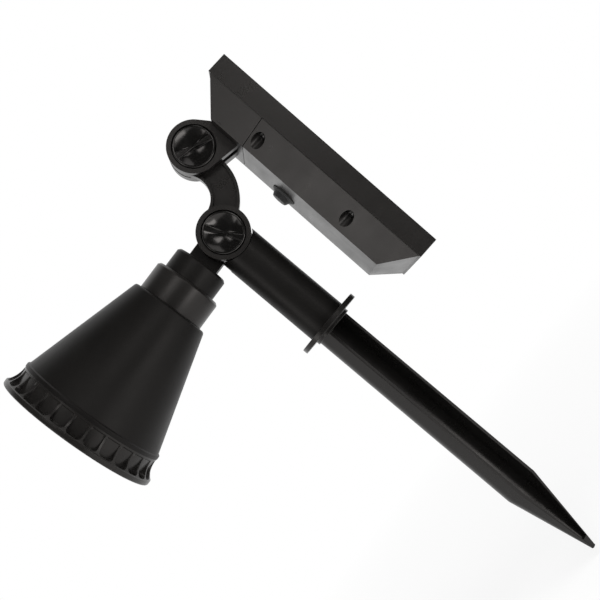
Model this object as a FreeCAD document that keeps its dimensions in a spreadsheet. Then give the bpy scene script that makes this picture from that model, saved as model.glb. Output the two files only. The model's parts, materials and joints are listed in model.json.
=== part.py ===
import FreeCAD, Part
import os
import re

import Sketcher

# Garden spike spotlight: a solar panel case and a lamp head on one stem with a ground spike.
# Frame: origin on the spike's axis at the underside of the ground flange, +Z up along the stem,
# hinge axes along Y, the lamp points to -X and the solar face looks to +X. All sizes in mm.

Vector = FreeCAD.Vector
X_AXIS = Vector(1, 0, 0)
Y_AXIS = Vector(0, 1, 0)
Z_AXIS = Vector(0, 0, 1)

doc = FreeCAD.newDocument("garden_spike_spotlight")
sheet = doc.addObject("Spreadsheet::Sheet", "Sizes")

# ---------------------------------------------------------------- driving dimensions

SIZES = [
    # ground spike
    ("flange_diameter", 38.8, "round ground flange"),
    ("flange_thickness", 2.8, "its thickness"),
    ("collar_diameter", 23.2, "short collar under the flange"),
    ("collar_height", 1.9, "its height"),
    ("spike_half_width", 9.3, "half the width of the open channel, and its back radius"),
    ("spike_wall_depth", 6.9, "straight side walls in front of the round back"),
    ("spike_back_offset", 2.1, "round back's centre behind the axis"),
    ("spike_wall", 2.0, "wall of the channel"),
    ("spike_turn", 36.0, "degrees that the open side is turned from the near side"),
    ("spike_length", 176.5, "flange underside to tip"),
    ("spike_taper", 47.6, "length of the tapered end"),
    ("spike_tip_share", 0.12, "size of the tip section over the full section"),
    ("spike_tip_solid", 7.0, "solid end beyond the hollow"),
    ("plug_length", 26.0, "plug above the flange"),
    ("plug_wall", 2.2, "its wall"),
    ("plug_bevel", 1.0, "bevel of its upper edge"),
    ("plug_clearance", 0.08, "radial running fit in the stem"),
    # stem
    ("stem_diameter", 24.5, "outside of the stem tube"),
    ("stem_wall", 2.2, "its wall"),
    ("pivot_height", 73.3, "lower hinge axis above the ground line"),
    ("stem_roof", 3.0, "closed end of the bore under the hinge"),
    ("stem_ear_flat", 11.0, "flat on the far side of the stem's ear, from the middle"),
    ("spot_face_radius", 7.0, "radius of that flat"),
    ("head_room", 0.5, "space round the hinge hubs in the cut end of the stem"),
    ("tongue_slot", 4.6, "deeper slot for the neck's tongue"),
    # hinges
    ("hub_radius", 14.4, "round ends of the ears and of the arm"),
    ("near_face", 10.0, "near face of the hinges, from the middle"),
    ("near_ear", 5.0, "thickness of the panel's near ear"),
    ("far_ear", 7.7, "thickness of the panel's far ear"),
    ("hinge_gap", 0.2, "side clearance between hinge leaves"),
    ("bolt_diameter", 5.0, "hinge bolt"),
    ("bolt_clearance", 0.1, "radial clearance of the bolt in the leaves"),
    ("bolt_head_diameter", 7.2, "round head moulded into the knob"),
    ("bolt_head_height", 2.4, "its height"),
    ("bolt_cover", 0.4, "plastic over the bolt's head"),
    ("nut_flats", 8.0, "hexagon nut across flats"),
    ("nut_thickness", 4.0, "its thickness"),
    ("nut_thread_gap", 0.05, "radial clearance of the thread"),
    ("nut_room", 0.1, "room of a nut in its pocket"),
    ("ring_inner", 6.4, "inner radius of the friction rings"),
    ("ring_outer", 9.4, "outer radius of the friction rings"),
    ("ring_thickness", 0.8, "their thickness"),
    ("ring_proud", 0.1, "stand out of their grooves"),
    # knobs
    ("knob_radius", 11.5, "thumb knob"),
    ("knob_thickness", 3.8, "its thickness at the edge"),
    ("knob_proud", 0.4, "stands out of the cup"),
    ("knob_gap", 0.4, "radial clearance in the cup"),
    ("knob_seat_gap", 0.2, "clearance under the knob"),
    ("knob_edge", 1.2, "rim round the scooped bowl"),
    ("bowl_depth", 3.0, "depth of the scooped bowl"),
    ("web_middle", 1.0, "thickness of the finger web in the middle"),
    ("web_end", 3.8, "thickness of the finger web at the rim"),
    ("knob_hub_radius", 4.6, "hub behind the knob"),
    ("knob_hub_length", 3.0, "its length"),
    ("upper_knob_turn", 18.0, "degrees that the upper web slopes down to the panel"),
    ("lower_knob_turn", 65.0, "degrees that the lower web slopes down"),
    # arm
    ("arm_reach", 47.9, "lower pivot to upper pivot"),
    ("arm_rise", 59.4, "degrees of the arm above the horizontal"),
    ("arm_bow", 12.5, "offset of the arc's centre from the line of pivots"),
    ("arm_width", 15.3, "width of the curved bar"),
    ("arm_thickness", 6.4, "thickness of the bar and the upper hub"),
    ("arm_rim", 1.5, "raised rim round the sunk web"),
    ("arm_sink", 1.8, "depth of the sunk web on each face"),
    ("lower_hub", 8.4, "thickness of the lower hub"),
    ("upper_hub_gap", 0.2, "upper hub smaller than the ears"),
    # lamp head
    ("lamp_tilt", 4.1, "degrees that the lamp looks down"),
    ("tongue_thickness", 6.8, "neck's hinge tongue"),
    ("tongue_width", 17.3, "its width"),
    ("tongue_round", 12.2, "radius of its round end"),
    ("tongue_room", 1.0, "room of the arm's bar round it"),
    ("neck_start", 19.3, "pivot to the neck's collar"),
    ("neck_radius", 15.1, "neck's collar"),
    ("neck_length", 12.0, "its length"),
    ("neck_floor", 4.0, "closed end of the lead's way"),
    ("neck_bevel", 1.2, "bevel of the collar and the spacer ring"),
    ("spigot_radius", 12.0, "neck's spigot through ring and shell"),
    ("spigot_bore", 4.0, "radius of the lead's way through the neck"),
    ("spigot_proud", 1.0, "spigot's end beyond its locknut"),
    ("fit_gap", 0.1, "radial clearance of fitted round parts"),
    ("ring_radius", 18.9, "spacer ring"),
    ("ring_length", 16.0, "its length"),
    ("shell_top_radius", 22.3, "top of the conical shell"),
    ("shell_bottom_radius", 40.3, "bottom of the conical shell"),
    ("shell_length", 67.0, "length of the conical shell"),
    ("shell_wall", 2.4, "its wall"),
    ("shell_roof", 3.0, "its closed top"),
    ("shell_shoulder", 2.2, "rounded shoulder at its top"),
    ("shoulder_curve", 0.66, "the shoulder's middle corner inside a square edge"),
    ("shell_bead", 1.0, "raised bead at its lower edge"),
    ("shell_bead_length", 2.0, "length of the bead"),
    ("bead_slope", 0.6, "length of its sloped start"),
    ("spigot_step", 1.2, "shell's spigot inside the bezel, narrower than the shell"),
    ("spigot_wall", 2.2, "its wall"),
    ("ledge_width", 5.4, "ledge that carries the board"),
    ("ledge_height", 4.0, "its height"),
    ("board_setback", 2.0, "board behind the shell's edge"),
    ("locknut_radius", 16.0, "nut inside the shell"),
    ("locknut_thickness", 4.0, "its thickness"),
    ("bezel_flare", 4.7, "front lip of the fluted bezel, wider than the shell"),
    ("bezel_length", 13.4, "its length"),
    ("bezel_lip", 3.0, "front lip band"),
    ("bezel_root", 0.7, "bezel wider than the shell where they meet"),
    ("bezel_step", 0.5, "lip wider than the flared part"),
    ("bezel_hollow", 2.0, "flare narrower a little behind the lip"),
    ("bezel_hollow_length", 3.0, "length of that last flare"),
    ("bezel_edge", 0.6, "bevel of the front edge"),
    ("bezel_overlap", 2.0, "lip over the lens"),
    ("bezel_front_wall", 1.6, "thickness of that lip"),
    ("flute_count", 28, "flutes round the bezel"),
    ("flute_floor_step", 0.3, "flutes' floor wider than the shell"),
    ("flute_rib", 1.5, "rib between two flutes"),
    ("flute_margin", 1.2, "plain edges before and behind the flutes"),
    ("lens_thickness", 2.2, "clear lens"),
    ("seal_thickness", 1.6, "seal behind the lens"),
    ("seal_width", 2.2, "its width"),
    ("led_board_thickness", 1.6, "round board"),
    ("led_board_gap", 0.5, "radial room of the board in the shell"),
    ("led_size", 3.5, "side of one light chip"),
    ("led_height", 0.8, "its height"),
    ("led_circle", 22.0, "radius of the circle of outer chips"),
    ("outer_led_count", 6, "chips on that circle"),
    ("cup_back_radius", 3.0, "small end of a reflector cup"),
    ("cup_front_radius", 9.6, "wide end of a reflector cup"),
    ("reflector_gap", 0.3, "room round the reflector"),
    ("lens_gap", 0.2, "room between reflector and lens"),
    ("board_screw_inset", 2.4, "board screws inside the board's edge"),
    ("board_screw_count", 3, "board screws"),
    ("small_head_radius", 1.9, "head of a small screw"),
    ("small_head_height", 1.2, "its height"),
    ("small_shank_radius", 1.0, "shank of a small screw"),
    ("small_shank_length", 4.4, "its length"),
    # panel case
    ("panel_tilt", 1.5, "degrees that the case leans"),
    ("panel_back", 15.0, "upper pivot to the case's back"),
    ("cover_depth", 15.2, "depth of the sloped back"),
    ("frame_depth", 11.7, "depth of the front frame"),
    ("panel_length", 141.2, "length of the case"),
    ("panel_top", 14.9, "its top end above the upper pivot"),
    ("panel_width", 68.9, "its width"),
    ("case_ledge", 1.0, "step between the frame and the sloped back"),
    ("end_inset", 13.2, "slope of the ends, beyond the step"),
    ("side_inset", 12.35, "slope of the sides, beyond the step"),
    ("case_wall", 3.2, "wall of the sloped back at its rim"),
    ("back_wall", 2.0, "flat back wall"),
    ("back_corner", 1.0, "inner corner of the back wall"),
    ("seam_below_top", 35.9, "top end to the seam of the battery cover"),
    ("seam_gap", 0.3, "seam between hinge block and battery cover"),
    ("block_web", 2.4, "closing wall of the hinge block at the seam"),
    ("ear_root_low", 16.8, "ear's lower root below the pivot"),
    ("ear_root_high", 2.5, "ear's upper root above the pivot"),
    ("ear_web_angle", 38.5, "degrees up the round ear where its upper web starts"),
    ("frame_floor", 1.85, "floor between the cells and the battery room"),
    ("window_border", 4.5, "frame border round the cells"),
    ("window_depth", 3.0, "depth of the cells' recess"),
    ("backing_thickness", 1.0, "board under the cells"),
    ("cell_thickness", 0.3, "solar cells"),
    ("clear_sheet", 1.5, "clear sheet over the cells"),
    ("sheet_gap", 0.2, "room round the sheets"),
    ("cell_count", 8, "cell strips"),
    ("cell_spacing", 1.2, "gap between cell strips"),
    ("cell_border", 3.0, "bare edge of the backing board"),
    ("gasket_width", 1.2, "case gasket"),
    ("gasket_depth", 1.0, "its thickness"),
    ("gasket_inset", 2.2, "its place inside the frame's edge"),
    ("cover_screw_pitch", 59.8, "cover screws along the case"),
    ("cover_screw_side", 26.4, "cover screws from the middle"),
    ("cover_hole_radius", 3.3, "recess of a cover screw"),
    ("cover_screw_seat", 4.2, "seat of the head above the rim"),
    ("cover_boss_radius", 4.8, "boss round a cover screw"),
    ("screw_head_radius", 2.8, "head of a case screw"),
    ("screw_head_height", 1.8, "its height"),
    ("screw_shank_radius", 1.4, "shank of a case screw"),
    ("screw_gap", 0.15, "radial room round a shank"),
    ("screw_end", 1.0, "floor left under a screw"),
    ("screw_tip_gap", 0.2, "room under a screw's tip"),
    ("screw_sunk", 0.1, "head below the floor of the cells' recess"),
    ("slot_width", 0.7, "driving slot"),
    ("slot_length", 3.9, "its length"),
    ("slot_depth", 0.8, "its depth"),
    ("frame_boss_radius", 4.2, "bosses of the frame and the hinge block"),
    ("block_screw_land", 2.0, "plastic under the head of a block screw"),
    ("block_screw_side", 18.0, "hinge block screws from the middle"),
    ("block_screw_below", 4.0, "hinge block screws below the pivot"),
    ("block_screw_grip", 8.0, "length of their thread in the block"),
    # inside the case
    ("battery_diameter", 18.4, "round cell"),
    ("battery_length", 65.0, "its length"),
    ("battery_side", 10.0, "cell's axis from the middle"),
    ("battery_below", 66.0, "cell's middle below the pivot"),
    ("battery_cap_radius", 4.0, "raised pole"),
    ("battery_cap_height", 1.0, "its height"),
    ("battery_gap", 0.1, "room under the cell"),
    ("holder_base", 1.2, "base of the battery holder"),
    ("holder_wall", 1.5, "end walls of the holder"),
    ("holder_inset", 1.0, "holder narrower than the cell on each side"),
    ("holder_rise", 5.0, "end walls beyond the cell's axis"),
    ("contact_thickness", 0.5, "contact plates"),
    ("contact_room", 2.0, "spring travel at each end of the cell"),
    ("spring_wide", 4.5, "wide end of the contact spring"),
    ("spring_narrow", 3.0, "narrow end of the contact spring"),
    ("dimple_radius", 2.0, "raised point of the other contact"),
    ("circuit_width", 17.0, "control board"),
    ("circuit_length", 38.0, "its length"),
    ("circuit_thickness", 1.6, "its thickness"),
    ("circuit_near_edge", 2.5, "near edge of the board from the middle"),
    ("circuit_part_side", 8.0, "row of components from the middle"),
    ("chip_place", 7.0, "chip along the board"),
    ("chip_length", 6.0, "its length"),
    ("chip_width", 4.0, "its width"),
    ("chip_height", 1.6, "its height"),
    ("coil_place", 17.0, "coil along the board"),
    ("coil_radius", 3.5, "its radius"),
    ("coil_height", 4.0, "its height"),
    ("capacitor_place", 26.0, "capacitor along the board"),
    ("capacitor_radius", 2.5, "its radius"),
    ("capacitor_height", 6.0, "its height"),
    ("socket_place", 33.5, "lead socket along the board"),
    ("socket_length", 5.0, "its length"),
    ("socket_width", 8.0, "its width"),
    ("socket_height", 5.0, "its height"),
    ("switch_side", 7.0, "mode button from the middle"),
    ("switch_below", 49.7, "mode button below the pivot"),
    ("switch_size", 6.0, "switch body"),
    ("switch_height", 3.4, "its height"),
    ("switch_stem_radius", 1.7, "switch stem"),
    ("switch_stem_height", 0.8, "its height above the switch"),
    ("switch_stem_root", 0.3, "start of the stem inside the switch"),
    ("switch_well", 1.2, "depth of the well for the stem"),
    ("board_standoff", 5.0, "board above the back wall"),
    ("post_radius", 2.6, "posts under the board"),
    ("post_side", 16.0, "posts from the middle"),
    ("post_spacing", 28.0, "posts along the board"),
    # mode button
    ("button_base_radius", 7.4, "foot of the rubber button"),
    ("button_top_radius", 4.3, "its pressed top"),
    ("button_height", 4.0, "top above the case"),
    ("button_edge", 0.6, "bevel of its top"),
    ("button_foot", 1.3, "height of the fixed foot ring"),
    ("button_foot_edge", 0.5, "height of the foot's outer edge"),
    ("button_foot_top", 0.3, "width of the foot's top"),
    ("button_ring_width", 1.5, "its width at the case"),
    ("button_room", 0.8, "room under the moving cap"),
    ("button_slide_gap", 0.25, "radial room round the cap and its plunger"),
    ("plunger_radius", 2.6, "plunger through the back wall"),
    # cutting shapes
    ("overrun", 1.0, "length of a cutting shape past the face that it cuts"),
]

# Lengths worked out from the driving dimensions, as formulas of the same words.
FORMULAS = {
    "stem_radius": "stem_diameter/2",
    "stem_bore": "stem_radius - stem_wall",
    "collar_radius": "collar_diameter/2",
    "bolt_radius": "bolt_diameter/2",
    "bolt_hole": "bolt_radius + bolt_clearance",
    "arm_near": "0 - near_face + near_ear + hinge_gap",
    "arm_far": "arm_near + arm_thickness",
    "lower_hub_far": "lower_hub - near_face",
    "tongue_near": "lower_hub_far + hinge_gap",
    "tongue_far": "tongue_near + tongue_thickness",
    "stem_ear_near": "tongue_far + hinge_gap",
    "far_ear_near": "arm_far + hinge_gap",
    "far_ear_far": "far_ear_near + far_ear",
    "hub_clear": "hub_radius + head_room",
    "knob_face": "0 - near_face - knob_proud",
    "knob_back": "knob_face + knob_thickness",
    "cup_floor": "knob_back + knob_seat_gap",
    "cup_radius": "knob_radius + knob_gap",
    "knob_hub_end": "knob_back + knob_hub_length",
    "knob_hub_hole": "knob_hub_radius + bolt_clearance",
    "bolt_head_start": "knob_face + bowl_depth + bolt_cover",
    "bolt_head_end": "bolt_head_start + bolt_head_height",
    "upper_hub_radius": "hub_radius - upper_hub_gap",
    "arc_distance": "sqrt(arm_reach*arm_reach/4 + arm_bow*arm_bow)",
    "arc_inner": "arc_distance - hub_radius",
    "arc_outer": "arc_inner + arm_width",
    "upper_pivot_x": "arm_reach*cos(arm_rise*1deg)",
    "upper_pivot_z": "pivot_height + arm_reach*sin(arm_rise*1deg)",
    "neck_end": "neck_start + neck_length",
    "shell_top": "neck_end + ring_length",
    "shell_end": "shell_top + shell_length",
    "spigot_end": "shell_top + shell_roof + locknut_thickness + spigot_proud",
    "spigot_hole": "spigot_radius + fit_gap",
    "shell_slope": "(shell_bottom_radius - shell_top_radius)/(shell_length - shell_shoulder)",
    "shell_spigot_radius": "shell_bottom_radius - spigot_step",
    "shell_spigot_inner": "shell_spigot_radius - spigot_wall",
    "bezel_radius": "shell_bottom_radius + bezel_flare",
    "flute_floor": "shell_bottom_radius + flute_floor_step",
    "bezel_end": "shell_end + bezel_length",
    "bezel_bore": "shell_spigot_radius + fit_gap",
    "bezel_throat": "bezel_bore - bezel_overlap",
    "lens_front": "bezel_end - bezel_front_wall",
    "lens_back": "lens_front - lens_thickness",
    "seal_back": "lens_back - seal_thickness",
    "board_back": "shell_end - board_setback",
    "board_front": "board_back + led_board_thickness",
    "board_radius": "shell_spigot_inner - led_board_gap",
    "board_screw_circle": "board_radius - board_screw_inset",
    "panel_bottom": "panel_top - panel_length",
    "panel_middle": "panel_top - panel_length/2",
    "rim_x": "panel_back + cover_depth",
    "front_x": "rim_x + frame_depth",
    "half_width": "panel_width/2",
    "step_half": "half_width - case_ledge",
    "back_half": "step_half - side_inset",
    "room_half": "step_half - case_wall",
    "room_top": "panel_top - case_ledge - case_wall",
    "room_bottom": "panel_bottom + case_ledge + case_wall",
    "seam_z": "panel_top - seam_below_top",
    "cover_screw_high": "seam_z - cover_boss_radius",
    "floor_front": "front_x - window_depth",
    "floor_back": "floor_front - frame_floor",
    "screw_seat_x": "rim_x - cover_screw_seat",
    "battery_x": "floor_back - holder_base - battery_diameter/2 - battery_gap",
    "battery_low": "0 - battery_below - battery_length/2",
    "battery_high": "battery_low + battery_length",
    "battery_radius": "battery_diameter/2",
    "board_x": "panel_back + back_wall + board_standoff",
    "board_low": "0 - switch_below - circuit_length/2",
    "switch_top_x": "board_x - switch_height",
    "switch_z": "0 - switch_below",
    "block_seat_x": "floor_front - screw_head_height - screw_sunk",
    "block_boss_x": "block_seat_x - block_screw_land",
}

ALIASES = {}
for row, (alias, value, meaning) in enumerate(SIZES, start=1):
    sheet.set("A%d" % row, meaning)
    sheet.set("B%d" % row, str(value))
    sheet.setAlias("B%d" % row, alias)
    ALIASES[alias] = value
doc.recompute()

WORD = re.compile(r"[a-z][a-z0-9_]*")


def formula(text):
    """Write a formula of size names as an expression on the sheet's cells."""
    def spell(match):
        word = match.group(0)
        if word in FORMULAS:
            return "(" + formula(FORMULAS[word]) + ")"
        if word in ALIASES:
            return "Sizes." + word
        return word
    return WORD.sub(spell, str(text))


def bind(item, **properties):
    """Tie properties of one object to formulas."""
    for name, text in properties.items():
        item.setExpression(name, formula(text))
    return item


def put(item, x="0", y="0", z="0", axis=None, angle=None):
    """Place an object at a formula's point, turned about one axis."""
    if axis is not None:
        item.Placement = FreeCAD.Placement(Vector(0, 0, 0), FreeCAD.Rotation(axis, 1))
        item.setExpression("Placement.Rotation.Angle", formula(angle))
    item.setExpression("Placement.Base.x", formula(x))
    item.setExpression("Placement.Base.y", formula(y))
    item.setExpression("Placement.Base.z", formula(z))
    return item


# ---------------------------------------------------------------- building blocks

def pin(name, radius, y_from, y_to, x="0", z="0"):
    """Cylinder along Y."""
    item = doc.addObject("Part::Cylinder", name)
    bind(item, Radius=radius, Height="(%s) - (%s)" % (y_to, y_from))
    return put(item, x, y_from, z, X_AXIS, "0 - 90")


def post(name, radius, z_from, z_to, x="0", y="0"):
    """Cylinder along Z."""
    item = doc.addObject("Part::Cylinder", name)
    bind(item, Radius=radius, Height="(%s) - (%s)" % (z_to, z_from))
    return put(item, x, y, z_from)


def stud(name, radius, x_from, x_to, y="0", z="0"):
    """Cylinder along X."""
    item = doc.addObject("Part::Cylinder", name)
    bind(item, Radius=radius, Height="(%s) - (%s)" % (x_to, x_from))
    return put(item, x_from, y, z, Y_AXIS, "90")


def block(name, x_from, x_to, y_from, y_to, z_from, z_to):
    """Box between two corners."""
    item = doc.addObject("Part::Box", name)
    bind(item, Length="(%s) - (%s)" % (x_to, x_from),
         Width="(%s) - (%s)" % (y_to, y_from), Height="(%s) - (%s)" % (z_to, z_from))
    return put(item, x_from, y_from, z_from)


def hexagon(name, flats, y_from, y_to, x="0", z="0"):
    """Hexagonal prism along Y."""
    item = doc.addObject("Part::Prism", name)
    item.Polygon = 6
    bind(item, Circumradius="(%s)/sqrt(3)" % flats, Height="(%s) - (%s)" % (y_to, y_from))
    return put(item, x, y_from, z, X_AXIS, "0 - 90")


def sloped_box(name, x_back, x_rim, half_back, half_rim, z_back, z_rim):
    """Box whose back face is smaller than its rim face, deep along X."""
    item = doc.addObject("Part::Wedge", name)
    bind(item, Ymin=x_back, Ymax=x_rim,
         Xmin="0 - (%s)" % half_back, Xmax=half_back, Zmin=z_back[0], Zmax=z_back[1],
         X2min="0 - (%s)" % half_rim, X2max=half_rim, Z2min=z_rim[0], Z2max=z_rim[1])
    return put(item, axis=Z_AXIS, angle="0 - 90")


def cut(name, base, tool):
    item = doc.addObject("Part::Cut", name)
    item.Base = base
    item.Tool = tool
    return item


def common(name, first, second):
    item = doc.addObject("Part::MultiCommon", name)
    item.Shapes = [first, second]
    return item


def fuse(name, *shapes):
    item = doc.addObject("Part::MultiFuse", name)
    item.Shapes = list(shapes)
    item.Refine = True
    return item


def group(name, *shapes):
    item = doc.addObject("Part::Compound", name)
    item.Links = list(shapes)
    return item


def cut_all(name, base, *tools):
    """Cut several tools, which may overlap one another."""
    tool = tools[0] if len(tools) == 1 else fuse(name + "_cuts", *tools)
    return cut(name, base, tool)


def origin_plane(body, role):
    return [item for item in body.Origin.OriginFeatures if item.Role == role][0]


def outline(body, name, role, corners, height=None):
    """Closed sketch of straight lines whose corners follow formulas."""
    sketch = body.newObject("Sketcher::SketchObject", name)
    sketch.AttachmentSupport = [(origin_plane(body, role), "")]
    sketch.MapMode = "FlatFace"
    if height is not None:
        sketch.setExpression("AttachmentOffset.Base.z", formula(height))
    count = len(corners)
    turn = FreeCAD.Rotation(Z_AXIS, 360.0 / count)
    start = [Vector(10, 0, 0)]
    while len(start) < count:
        start.append(turn.multVec(start[-1]))
    for index in range(count):
        sketch.addGeometry(Part.LineSegment(start[index], start[(index + 1) % count]), False)
    for index in range(count):
        sketch.addConstraint(Sketcher.Constraint("Coincident", index, 2, (index + 1) % count, 1))
    for index, corner in enumerate(corners):
        for kind, text, value in (("DistanceX", corner[0], start[index].x),
                                  ("DistanceY", corner[1], start[index].y)):
            number = sketch.addConstraint(Sketcher.Constraint(kind, -1, 1, index, 1, value))
            sketch.setExpression("Constraints[%d]" % number, formula(text))
    return sketch


def turned(name, corners):
    """Body turned about Z from a half section of (radius, height) corners."""
    body = doc.addObject("PartDesign::Body", name)
    section = outline(body, name + "_section", "XZ_Plane", corners)
    spin = body.newObject("PartDesign::Revolution", name + "_turning")
    spin.Profile = section
    spin.ReferenceAxis = (section, ["V_Axis"])
    spin.Angle = 360
    return body


def plate(name, corners, y_from, y_to):
    """Body cut from a plate: an outline in X and Z, thick along Y."""
    body = doc.addObject("PartDesign::Body", name)
    section = outline(body, name + "_section", "XZ_Plane", corners)
    pad = body.newObject("PartDesign::Pad", name + "_pad")
    pad.Profile = section
    pad.setExpression("Length", formula("(%s) - (%s)" % (y_to, y_from)))
    return put(body, y=y_to)


# ---------------------------------------------------------------- finished sub-parts

nodes = []


def node(label, item, frame=None):
    """Keep an object as a sub-part, moved to its place by its frame."""
    item.Label = label
    if frame is not None:
        frame(item)
    nodes.append(item)
    return item


def at_lower_pivot(item, angle):
    put(item, z="pivot_height", axis=Y_AXIS, angle=angle)


def arm_frame(item):
    """Arm frame: origin at the lower pivot, +X to the upper pivot."""
    at_lower_pivot(item, "0 - arm_rise")


def lamp_frame(item):
    """Lamp frame: origin at the lower pivot, +Z to the lens."""
    at_lower_pivot(item, "0 - 90 - lamp_tilt")


def panel_frame(item):
    """Panel frame: origin at the upper pivot, +X out of the solar face, +Z to the top end."""
    put(item, x="upper_pivot_x", z="upper_pivot_z", axis=Y_AXIS, angle="panel_tilt")


# ---------------------------------------------------------------- ground spike

def channel_section(body, name, height, share, half_width, depth):
    """U section: a round back behind the axis and two straight walls, open at the front."""
    sketch = body.newObject("Sketcher::SketchObject", name)
    sketch.AttachmentSupport = [(origin_plane(body, "XY_Plane"), "")]
    sketch.MapMode = "FlatFace"
    sketch.setExpression("AttachmentOffset.Base.z", formula(height))
    left = Vector(-9, -2, 0)
    right = Vector(9, -2, 0)
    sketch.addGeometry(Part.LineSegment(Vector(-9, 5, 0), left), False)
    sketch.addGeometry(Part.Arc(left, Vector(0, -11, 0), right), False)
    sketch.addGeometry(Part.LineSegment(right, Vector(9, 5, 0)), False)
    sketch.addGeometry(Part.LineSegment(Vector(9, 5, 0), Vector(-9, 5, 0)), False)
    for first, first_end, second, second_end in ((0, 2, 1, 1), (1, 2, 2, 1), (2, 2, 3, 1),
                                                 (3, 2, 0, 1)):
        sketch.addConstraint(Sketcher.Constraint("Coincident", first, first_end,
                                                 second, second_end))
    back = "0 - (%s)*spike_back_offset" % share
    front = "(%s)*(%s)" % (share, depth)
    side = "(%s)*(%s)" % (share, half_width)
    rules = [("DistanceX", 1, 3, "0", 0.0), ("DistanceY", 1, 3, back, -2.0),
             ("DistanceX", 0, 2, "0 - (%s)" % side, -9.0), ("DistanceY", 0, 2, back, -2.0),
             ("DistanceY", 2, 1, back, -2.0),
             ("DistanceX", 0, 1, "0 - (%s)" % side, -9.0), ("DistanceY", 0, 1, front, 5.0),
             ("DistanceX", 2, 2, side, 9.0), ("DistanceY", 2, 2, front, 5.0)]
    for kind, geometry, point, text, value in rules:
        number = sketch.addConstraint(Sketcher.Constraint(kind, -1, 1, geometry, point, value))
        sketch.setExpression("Constraints[%d]" % number, formula(text))
    return sketch


def channel_body(name, half_width, depth, end_height, end_share, top):
    """Straight channel from the flange down to the kink, drawn in to the tip."""
    body = doc.addObject("PartDesign::Body", name)
    kink = "spike_taper - spike_length"
    upper = channel_section(body, name + "_top", top, "1", half_width, depth)
    middle = channel_section(body, name + "_kink", kink, "1", half_width, depth)
    tip = channel_section(body, name + "_tip", end_height, end_share, half_width, depth)
    straight = body.newObject("PartDesign::AdditiveLoft", name + "_straight")
    straight.Profile = upper
    straight.Sections = [middle]
    straight.Ruled = True
    drawn = body.newObject("PartDesign::AdditiveLoft", name + "_drawn")
    drawn.Profile = middle
    drawn.Sections = [tip]
    drawn.Ruled = True
    body.Tip = drawn
    return put(body, axis=Z_AXIS, angle="180 + spike_turn")


def make_ground_spike():
    front = "spike_wall_depth - spike_back_offset"
    outer = channel_body("blade_outer", "spike_half_width", front,
                         "0 - spike_length", "spike_tip_share", "0")
    hollow_share = "spike_tip_share + (1 - spike_tip_share)*spike_tip_solid/spike_taper"
    hollow = channel_body("blade_hollow", "spike_half_width - spike_wall", front + " + 3",
                          "spike_tip_solid - spike_length", hollow_share, "1")
    flange = post("flange", "flange_diameter/2", "0", "flange_thickness")
    collar = post("collar", "collar_radius", "0 - collar_height", "0")
    outside = "stem_bore - plug_clearance"
    inside = outside + " - plug_wall"
    top = "flange_thickness + plug_length"
    plug = turned("plug", [("0", "0"), (outside, "0"), (outside, top + " - plug_bevel"),
                           (outside + " - plug_bevel", top), (inside, top),
                           (inside, "flange_thickness"), ("0", "flange_thickness")])
    blade = cut("blade", outer, hollow)
    node("ground_spike", fuse("spike_whole", blade, flange, collar, plug))


make_ground_spike()


# ---------------------------------------------------------------- stem

def make_stem():
    beyond = "(stem_radius + overrun)"
    tube = post("stem_tube_blank", "stem_radius", "flange_thickness", "pivot_height")
    top = post("ear_blank", "stem_radius", "pivot_height - overrun", "pivot_height + stem_radius")
    rounding = pin("ear_rounding", "stem_radius", "stem_ear_near", beyond, z="pivot_height")
    whole = fuse("stem_blank", tube, common("ear", top, rounding))
    node("stem_tube", cut_all(
        "stem_cut", whole,
        pin("hub_space", "hub_clear", "0 - " + beyond, "stem_ear_near", z="pivot_height"),
        pin("tongue_slot_space", "hub_clear + tongue_slot", "lower_hub_far", "stem_ear_near",
            z="pivot_height"),
        post("stem_bore_space", "stem_bore", "0",
             "pivot_height - hub_clear - tongue_slot - stem_roof"),
        pin("stem_bolt_hole", "bolt_hole", "0", beyond, z="pivot_height"),
        pin("spot_face", "spot_face_radius", "stem_ear_flat", beyond, z="pivot_height"),
        hexagon("stem_nut_pocket", "nut_flats + nut_room", "stem_ear_flat - nut_thickness",
                beyond, z="pivot_height")))


make_stem()


# ---------------------------------------------------------------- hinge hardware

def make_nut(label, y_end, frame):
    body = hexagon(label + "_blank", "nut_flats", y_end + " - nut_thickness", y_end)
    thread = pin(label + "_thread", "bolt_radius + nut_thread_gap", "0", y_end + " + overrun")
    node(label, cut(label + "_cut", body, thread), frame)


def bolt_shape(name, y_end):
    head = pin(name + "_head", "bolt_head_diameter/2", "bolt_head_start", "bolt_head_end")
    shank = pin(name + "_shank", "bolt_radius", "bolt_head_end", y_end)
    return fuse(name, head, shank)


def make_knob(side, y_end, frame):
    """Thumb knob with a finger web across a scooped bowl, on its moulded-in bolt."""
    name = side + "_knob"
    disc = pin(name + "_disc", "knob_radius", "knob_face", "knob_back")
    bowl_radius = "knob_radius - knob_edge"
    sphere_radius = "((%s)*(%s) + bowl_depth*bowl_depth)/(2*bowl_depth)" % (bowl_radius,
                                                                        bowl_radius)
    bowl = doc.addObject("Part::Sphere", name + "_bowl")
    bind(bowl, Radius=sphere_radius)
    put(bowl, y="knob_face + bowl_depth - " + sphere_radius)
    reach = "knob_radius"
    web = plate(name + "_web", [("0 - " + reach, "0 - web_end/2"), ("0", "0 - web_middle/2"),
                                (reach, "0 - web_end/2"), (reach, "web_end/2"),
                                ("0", "web_middle/2"), ("0 - " + reach, "web_end/2")],
                "knob_face", "knob_back")
    trim = pin(name + "_trim", "knob_radius", "knob_face", "knob_back")
    hub = pin(name + "_hub", "knob_hub_radius", "knob_face + bowl_depth", "knob_hub_end")
    whole = fuse(name + "_blank", cut(name + "_scoop", disc, bowl),
                 common(name + "_grip", web, trim), hub)
    node(name, cut(name + "_cut", whole, bolt_shape(name + "_bolt_space", y_end)), frame)
    node(side + "_hinge_bolt", bolt_shape(side + "_bolt", y_end), frame)


def lower_knob_frame(item):
    at_lower_pivot(item, "lower_knob_turn")


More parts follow.
